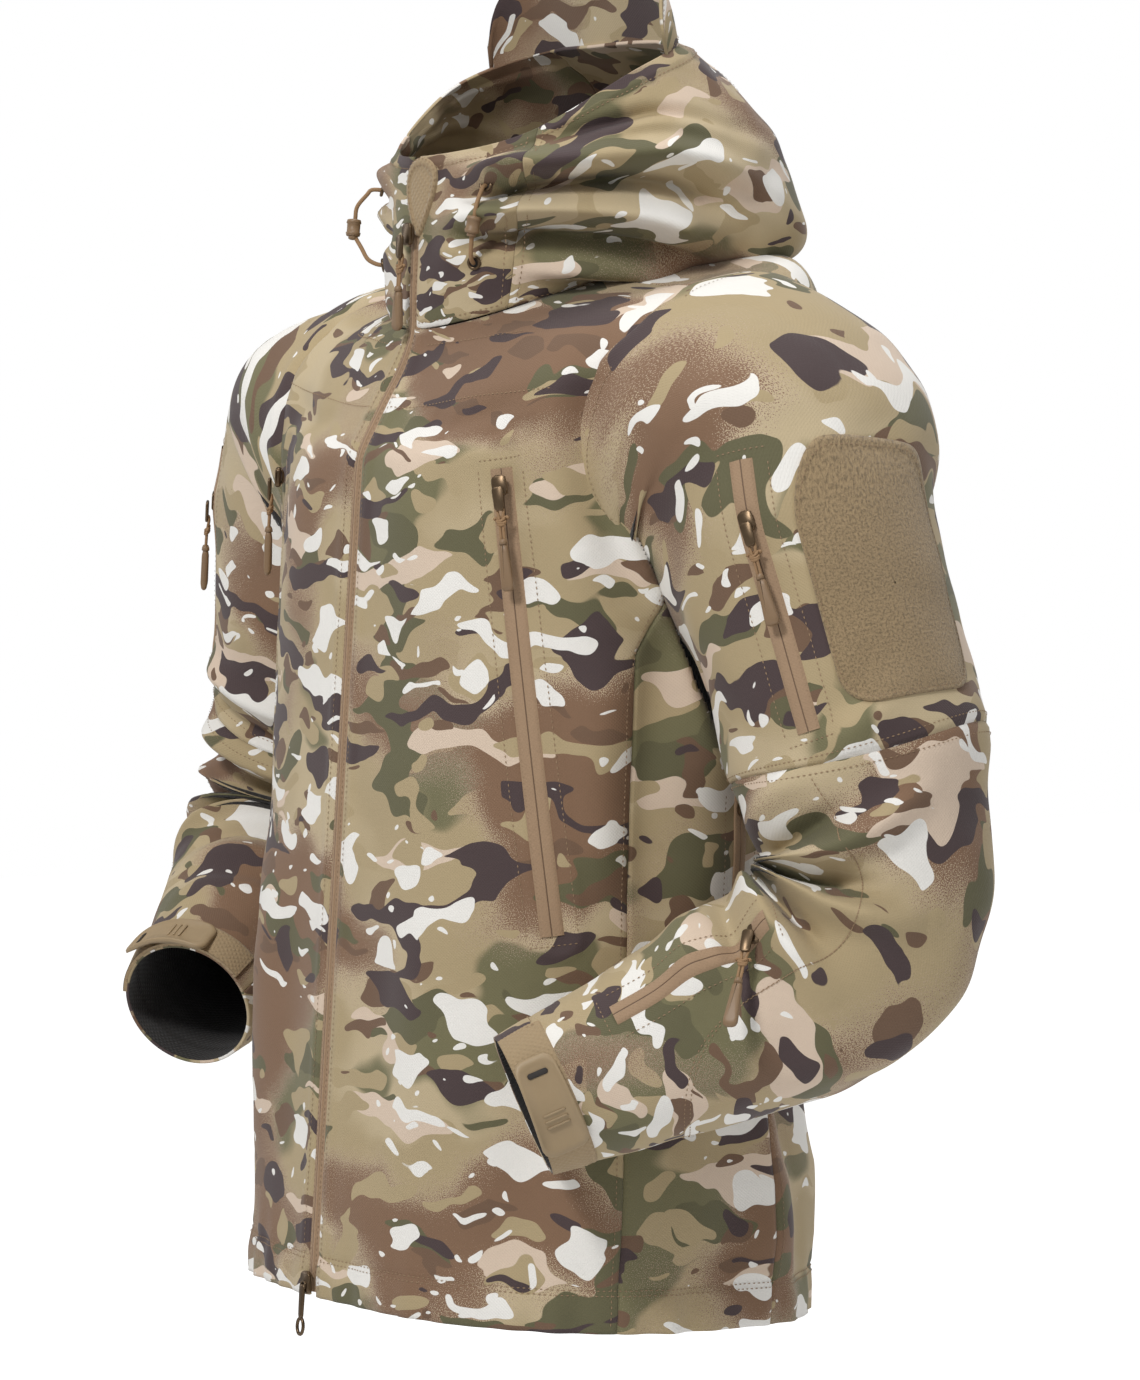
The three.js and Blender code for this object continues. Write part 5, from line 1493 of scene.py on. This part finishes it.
def on_sleeve(sleeve, turn, distance, radius):
    """Flat measurements round a point of a sleeve: x round it and y up it, in metres."""
    surface = lambda t, d: sleeve.surface(t, d)[0]

    def at(x, y):
        t, d = turn + np.asarray(x) / radius, distance - np.asarray(y)
        return surface(t, d), surface_normal(surface, t, d)

    return at


def find_on_sleeve(sleeve, point):
    """The direction round and distance along of the place on a sleeve nearest a point."""
    i = int(np.argmin(np.linalg.norm(sleeve.middle - point, axis=1)))
    _, _, out, across, _ = sleeve.at(sleeve.table[i])
    away = point - sleeve.middle[i]
    return math.atan2(float(away @ across), float(away @ out)), float(sleeve.table[i])


def close_points(outline, step=0.003):
    """The same outline with its points close together, so that it follows a curved surface."""
    loop = np.concatenate([outline, outline[:1]])
    run = np.concatenate([[0], np.cumsum(np.linalg.norm(np.diff(loop, axis=0), axis=1))])
    wanted = np.linspace(0, run[-1], int(run[-1] / step), endpoint=False)
    return np.column_stack([np.interp(wanted, run, loop[:, k]) for k in (0, 1)])


TAB_ANGLE = {"left": math.radians(12), "right": math.radians(-95)}


def cuff(label):
    """The wrist strap round one sleeve, stitched across both ends, and the moulded tab that closes it."""
    sleeve, cover = SLEEVES[label], SLEEVE_COVER[label]
    bodies = (f"forearm_{label}",)
    middle = forearm(sleeve, 0.928)
    spread = np.radians(np.linspace(-70, 70, 90)) + TAB_ANGLE[label]
    surface = lambda t, d: sleeve.surface(t, d)[0]
    distance = np.full(spread.shape, middle)
    line = surface(spread, distance), surface_normal(surface, spread, distance)
    half = 0.0155
    offsets = np.concatenate(
        [[-half, -half * 0.96], np.linspace(-half * 0.9, half * 0.9, 25), [half * 0.96, half]]
    )
    ribs = 1.7 + 0.28 * (np.arange(25) % 2)
    heights = np.concatenate([[-0.8, 1.2], ribs, [1.2, -0.8]]) / 1000
    ribbon(
        f"cuff_strap_cloth_{label}", cover, line, offsets, heights, [STRAP], bodies, [f"cuff_strap_{label}"],
    )
    points, normals = line
    across = unit(np.cross(unit(np.gradient(points, axis=0)), normals))
    ends = []
    for end in (2, -3):
        steps = np.linspace(-half * 0.85, half * 0.85, 16)[:, None]
        ends.append(
            (points[end] + across[end] * steps + normals[end] * 0.002, np.repeat(normals[end][None], 16, 0))
        )
    stitches(f"cuff_strap_stitches_{label}", None, ends, bodies)

    joint = JOINTS[f"cuff_tab_{label}_peel"]
    tab_body = f"cuff_tab_{label}"
    centre, hinge, axis = middle_of(tab_body), np.array(joint["pos_m"]), unit(np.array(joint["axis"]))
    way = centre - hinge
    way = unit(way - axis * np.dot(way, axis))
    flat_place = body_of_axes(centre, axis, way)
    nearest = sleeve.middle[np.argmin(np.linalg.norm(sleeve.middle - centre, axis=1))]
    out_sign = 1 if np.dot(flat_place((0, 0, 1)) - flat_place((0, 0, 0)), centre - nearest) > 0 else -1

    def place(points):
        """Bends the flat tab round the wrist."""
        points = np.asarray(points, float)
        return flat_place(points - np.outer(points[:, 1] ** 2, (0, 0, out_sign / 104)))

    outline = close_points(rounded_outline(30, 62, 7, 0.86, 10), 3.0)
    z = [-1.5, -1.2, 0.9, 1.5, 1.5, 0.6, 0.5]
    levels = list(zip([0.97, 1.0, 1.0, 0.97, 0.88, 0.84, 0.3], [v * out_sign for v in z]))
    # The slot is a thin dark plate on the tab: painted shade standing in for the opening.
    slot = plate(
        rounded_outline(13, 3.4, 1.6) + (0, 21), [(1, out_sign * 0.55), (0.9, out_sign * 0.62)], (0, 21)
    )
    grips = [
        plate(rounded_outline(15, 1.4, 0.6) + (0, y), [(1, out_sign * 0.4), (0.9, out_sign * 1.1)], (0, y))
        for y in (-12, -8, -4)
    ]
    solid_piece(
        f"cuff_tab_moulding_{label}",
        [placed(plate(outline, levels), place)] + [placed(g, place) for g in grips], TAB, (tab_body,),
        [tab_body]
    )
    solid_piece(f"cuff_tab_slot_{label}", [placed(slot, place)], DARK, (tab_body,))


SQUARE_PATCH = close_points(rounded_outline(0.100, 0.138, 0.022, 1.0, 12))
PATCH_RINGS = [
    (1.0, -0.6), (0.998, 1.2), (0.97, 1.7), (0.945, 1.2), (0.92, 1.9), (0.8, 2.1), (0.6, 2.1), (0.4, 2.1),
    (0.2, 2.1), (0.01, 2.1)
]
for label, sleeve in SLEEVES.items():
    turn, distance = find_on_sleeve(sleeve, middle_of(f"loop_patch_{label}"))
    at = on_sleeve(sleeve, turn, distance, 0.0815)
    patch(
        f"loop_panel_{label}", at, SQUARE_PATCH, PATCH_RINGS, PILE, JACKET, [f"loop_patch_{label}"],
        SLEEVE_COVER[label]
    )
    edge = [outline_path(at, SQUARE_PATCH, share) for share in (0.955,)]
    stitches(f"loop_panel_stitches_{label}", SLEEVE_COVER[label], edge, JACKET, lift=0.0014)
    cuff(label)


def on_collar(x, y):
    angle, share = math.radians(4.0) + np.asarray(x) / 0.1, 0.765 + np.asarray(y) / 0.115
    return hood_surface(angle, share), surface_normal(hood_surface, angle, share, 0.004)


def guard_outline():
    turns = np.linspace(0, 2 * np.pi, 72, endpoint=False)
    narrow = 0.70 + 0.30 * np.sin(turns)
    return np.column_stack([0.0215 * np.cos(turns) * narrow, 0.0262 * np.sin(turns)])


GUARD = guard_outline()
GUARD_RINGS = [
    (1.0, -0.8), (1.0, 1.4), (0.97, 2.3), (0.88, 2.6), (0.80, 2.2), (0.77, 1.5), (0.6, 1.9), (0.4, 2.0),
    (0.2, 2.0), (0.01, 2.0)
]
patch("chin_guard_patch", on_collar, GUARD, GUARD_RINGS, FLEECE, JACKET, ["chin_guard"])
for share, height in ((0.965, 0.0024), (0.81, 0.0023)):
    points, normals = outline_path(on_collar, GUARD, share)
    stitches(f"chin_guard_stitches_{int(share * 100)}", None, [(points, normals)], JACKET, lift=height)


def hood_drawcord(label, side, reaches, sway):
    """One loop of the hood's drawcord, out of the upper eyelet and back in at the lower one."""
    along = np.array((0.0, 0.04, 0.12, 0.30, 0.45, 0.60, 0.78, 0.90, 0.97, 1.0))
    out = np.interp(along, (0, 0.04, 0.3, 0.6, 0.9, 0.97, 1.0), reaches) / 1000
    share = 0.74 + (0.30 - 0.74) * along
    angle = side * (math.radians(38) + sway * np.sin(np.pi * along))
    points = hood_surface(angle, share)
    normals = surface_normal(hood_surface, angle, share, 0.004)
    path = smooth_path(points + normals * out[:, None], 0.0016)
    tube = tube_mesh(path, 0.0014, 10)
    cord = solid_piece(f"hood_drawcord_{label}", [tube], CORD, JACKET, [f"hood_cord_{label}"])
    node = f"hood_toggle_{label}"
    centre = middle_of(node)
    nearest = int(np.argmin(np.linalg.norm(path - centre, axis=1)))
    direction = unit(path[min(nearest + 2, len(path) - 1)] - path[max(nearest - 2, 0)])
    ring = np.array([-5.5, -5.2, -3.2, -2.8, 2.8, 3.2, 5.2, 5.5]) / 1000
    barrel = tube_mesh(
        path[nearest] + ring[:, None] * direction, np.array([3.2, 4.4, 4.9, 4.3, 4.3, 4.9, 4.4, 3.2]) / 1000,
        20
    )
    button = tube_mesh(
        path[nearest] + np.array([4.5, 5, 7.0, 7.6])[:, None] / 1000 * direction,
        np.array([2.6, 3.0, 3.0, 2.2]) / 1000, 16
    )
    toggle = solid_piece(
        f"hood_toggle_barrel_{label}", [barrel, button], MOULDED, JACKET, [node]
    )
    for name, place, normal in (("upper", points[0], normals[0]), ("lower", points[-1], normals[-1])):
        base = HOOD_COVER.settle(place[None], normal[None])[0]
        side_way = unit(np.cross(normal, (0, 0, 1.0)))
        other = np.cross(side_way, normal)
        turns = np.linspace(0, 2 * np.pi, 25)
        rim = base + 0.0036 * (
            np.cos(turns)[:, None] * side_way + np.sin(turns)[:, None] * other
        ) + normal * 0.0005
        solid_piece(f"hood_eyelet_{name}_{label}", [tube_mesh(rim, 0.0011, 8, False)], METAL, JACKET)
        # A dark disc inside the metal ring: painted shade standing in for the eyelet's hole.
        disc = base + 0.0032 * (
            np.cos(turns[:-1])[:, None] * side_way + np.sin(turns[:-1])[:, None] * other
        ) + normal * 0.0004
        solid_piece(f"hood_eyelet_hole_{name}_{label}", [(disc, [tuple(range(24))])], DARK, JACKET)


hood_drawcord("left", 1, (0.2, 4, 8, 9, 6, 3, 0.2), 0.02)
hood_drawcord("right", -1, (0.2, 8, 16, 18, 10, 5, 0.2), 0.05)


def small_loops():
    """The hanging loop inside the neck and the drawcord in the hem."""
    low, high = (np.array(v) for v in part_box("hanger_loop"))
    middle, half = (low + high) / 2, (high - low) / 2
    turns = np.linspace(0, np.pi, 24)
    drop = high[2] - 0.001 - 2 * half[2] * 0.86 * np.sin(turns)
    arc = np.column_stack([half[0] * 0.88 * np.cos(turns), np.full(24, middle[1]), drop])
    solid_piece(
        "hanging_tape", [tube_mesh(arc, np.full(24, 0.0016), 8)], TAPE, JACKET, ["hanger_loop"]
    )
    turns = np.radians(np.linspace(8, 352, 220))
    rise = np.full(turns.shape, 0.012)
    points = body_surface(girth_at(wrapped(turns)), rise)
    normals = surface_normal(body_surface, girth_at(wrapped(turns)), rise)
    solid_piece(
        "hem_cord", [tube_mesh(points - normals * 0.0046, 0.0013, 6)], CORD, JACKET, ["hem_drawcord"],
    )


small_loops()


# ---------------------------------------------------------------- Sewn seams
def round_body(rise, start, end, count=2):
    return [(start + (end - start) * i / count, rise) for i in range(count + 1)]


def seam_rows():
    rows = []
    edge = 0.0045
    for rise in (0.0240, 0.0272):
        for side in (1, -1):
            rows.append(body_path(round_body(rise, side * 0.009, side * HALF_GIRTH * 0.999, 8)))
    for side in (1, -1):
        rises = np.linspace(0.004, 0.49, 12)
        for seam, shift in ((side_line, -edge), (back_line, edge)):
            rows.append(body_path([(side * (float(seam(np.array(r))) + shift), r) for r in rises]))
        rows.append(
            body_path([(side * 0.0105, 0.004), (side * 0.0105, 0.35), (side * 0.0105, NECK_RISE - 0.003)])
        )
        rows.append(body_path([(side * 0.012, 0.608), (side * 0.096, 0.612), (side * 0.165, 0.606)]))
        rows.append(body_path([(side * 0.030, 0.668), (side * 0.09, 0.668), (side * 0.15, 0.660)]))
    return rows


stitches("body_seam_stitches", BODY_COVER, seam_rows(), JACKET)
for label, sleeve in SLEEVES.items():
    cover = SLEEVE_COVER[label]
    turns = np.degrees(np.linspace(-np.pi, np.pi, 61))
    starts = armhole(sleeve, 61)
    top_rows = [sleeve_line(sleeve, [(a, s + 0.0035) for a, s in zip(turns, starts)])]
    cross = lambda shift: sleeve_line(
        sleeve, [(a, sleeve.seam_at + 0.004 * math.sin(math.radians(a) * 2) + shift) for a in turns]
    )
    stitches(f"sleeve_stitches_upper_{label}", cover, top_rows + [cross(-0.0045)], JACKET)
    wrist = sleeve.length
    lower = [cross(0.0045), sleeve_line(sleeve, [(a, wrist - 0.0235) for a in turns])]
    inner = math.degrees(inner_turn(sleeve))
    mid = sleeve.elbow_end
    for shift in (0.0, 0.0035):
        elbow_patch = [
            (inner + 62, sleeve.seam_at + 0.01), (inner + 88, mid - 0.03), (inner + 100, mid + 0.05 + shift)
        ]
        elbow_patch += [
            (inner + 130, mid + 0.085 + shift), (inner + 180, mid + 0.095 + shift),
            (inner + 230, mid + 0.085 + shift)
        ]
        elbow_patch += [
            (inner + 260, mid + 0.05 + shift), (inner + 272, mid - 0.03), (inner + 298, sleeve.seam_at + 0.01)
        ]
        lower.append(sleeve_line(sleeve, elbow_patch))
    stitches(f"sleeve_stitches_lower_{label}", cover, lower, ELBOW_BLEND[label])

jacket_rows, hood_rows = [], []
for side in (1, -1):
    near_front = [math.radians(side * a) for a in (4.5, 16, 28, 40, 50)]
    for share in (0.035, 0.93):
        jacket_rows.append(hood_path([(a, share) for a in near_front], 0.02))
    jacket_rows.append(hood_path([(math.radians(side * 49), s) for s in (0.03, 0.5, 0.97)], 0.01))
    for share in (0.035, 0.93):
        hood_rows.append(hood_path([(math.radians(side * a), share) for a in (55, 90, 120, 148)], 0.02))
    for angle in (54.5, 147.5, 152.5):
        hood_rows.append(hood_path([(math.radians(side * angle), s) for s in (0.03, 0.5, 0.97)], 0.01))


def spread_evenly(line, step=0.0015):
    """The same line with its points close together."""
    points, normals = line
    run = np.concatenate([[0], np.cumsum(np.linalg.norm(np.diff(points, axis=0), axis=1))])
    wanted = np.linspace(0, run[-1], max(2, int(run[-1] / step)))
    both = [np.stack([np.interp(wanted, run, v[:, k]) for k in range(3)], -1) for v in (points, normals)]
    return both[0], unit(both[1])


stitches("collar_stitches", HOOD_COVER, [spread_evenly(line) for line in jacket_rows], JACKET)
stitches("hood_stitches", HOOD_COVER, [spread_evenly(line) for line in hood_rows], HOOD_BLEND)
VISOR_COVER = Cover([(VISOR_GRID, None)])
visor_lines = []
for row in (4, -5):
    points = VISOR_GRID[row, 2:-2]
    normals = grid_normals(VISOR_GRID)[row, 2:-2]
    visor_lines.append(spread_evenly((points, normals)))
stitches("visor_stitches", VISOR_COVER, visor_lines, ("visor",))


# ---------------------------------------------------------------- Light and floor
def soft_light(name, place, target, size, power, tone=(1, 1, 1)):
    data = bpy.data.lights.new(name, "AREA")
    data.shape = "RECTANGLE"
    data.size, data.size_y = size
    data.energy = power
    data.color = tone
    light = bpy.data.objects.new(name, data)
    light.location = place
    light.rotation_euler = (Vector(target) - Vector(place)).to_track_quat("-Z", "Y").to_euler()
    bpy.context.collection.objects.link(light)


def light_the_studio():
    scene = bpy.context.scene
    world = bpy.data.worlds.new("studio")
    world.use_nodes = True
    w = Wires(world.node_tree)
    seen = w.add("ShaderNodeLightPath").outputs["Is Camera Ray"]
    glow = w.add("ShaderNodeMapRange", {0: seen, 3: 0.34, 4: 1.0}).outputs[0]
    backdrop = world.node_tree.nodes["Background"]
    backdrop.inputs["Color"].default_value = (1, 1, 1, 1)
    w.feed(backdrop.inputs["Strength"], glow)
    scene.world = world
    scene.view_settings.view_transform = "Standard"
    middle = (0, 0, -0.22)
    soft_light("key", (1.3, -2.6, 2.1), middle, (0.7, 0.7), 73)
    soft_light("side", (3.0, 0.9, 0.8), middle, (0.6, 1.6), 10)
    soft_light("top", (0.0, 0.0, 2.4), middle, (0.9, 0.9), 24)
    soft_light("far_side", (-2.6, -1.2, 0.5), middle, (0.7, 1.8), 9)
    soft_light("rim", (-0.8, 2.6, 1.0), middle, (1.4, 1.6), 18)
    floor = mesh_object(
        "floor", [(-9, -9, -1.3), (9, -9, -1.3), (9, 9, -1.3), (-9, 9, -1.3)], [(0, 1, 2, 3)], [],
        smooth=False
    )
    paper = bpy.data.materials.new("pale paper")
    paper.use_nodes = True
    surface = paper.node_tree.nodes["Principled BSDF"]
    surface.inputs["Base Color"].default_value = (0.93, 0.93, 0.93, 1)
    surface.inputs["Roughness"].default_value = 0.9
    surface.inputs["Emission Strength"].default_value = 0.8
    p = Wires(paper.node_tree)
    p.feed(
        surface.inputs["Emission Color"],
        p.mix(p.add("ShaderNodeLightPath").outputs["Is Camera Ray"], (0, 0, 0, 1), (1, 1, 1, 1))
    )
    floor.data.materials.append(paper)


light_the_studio()
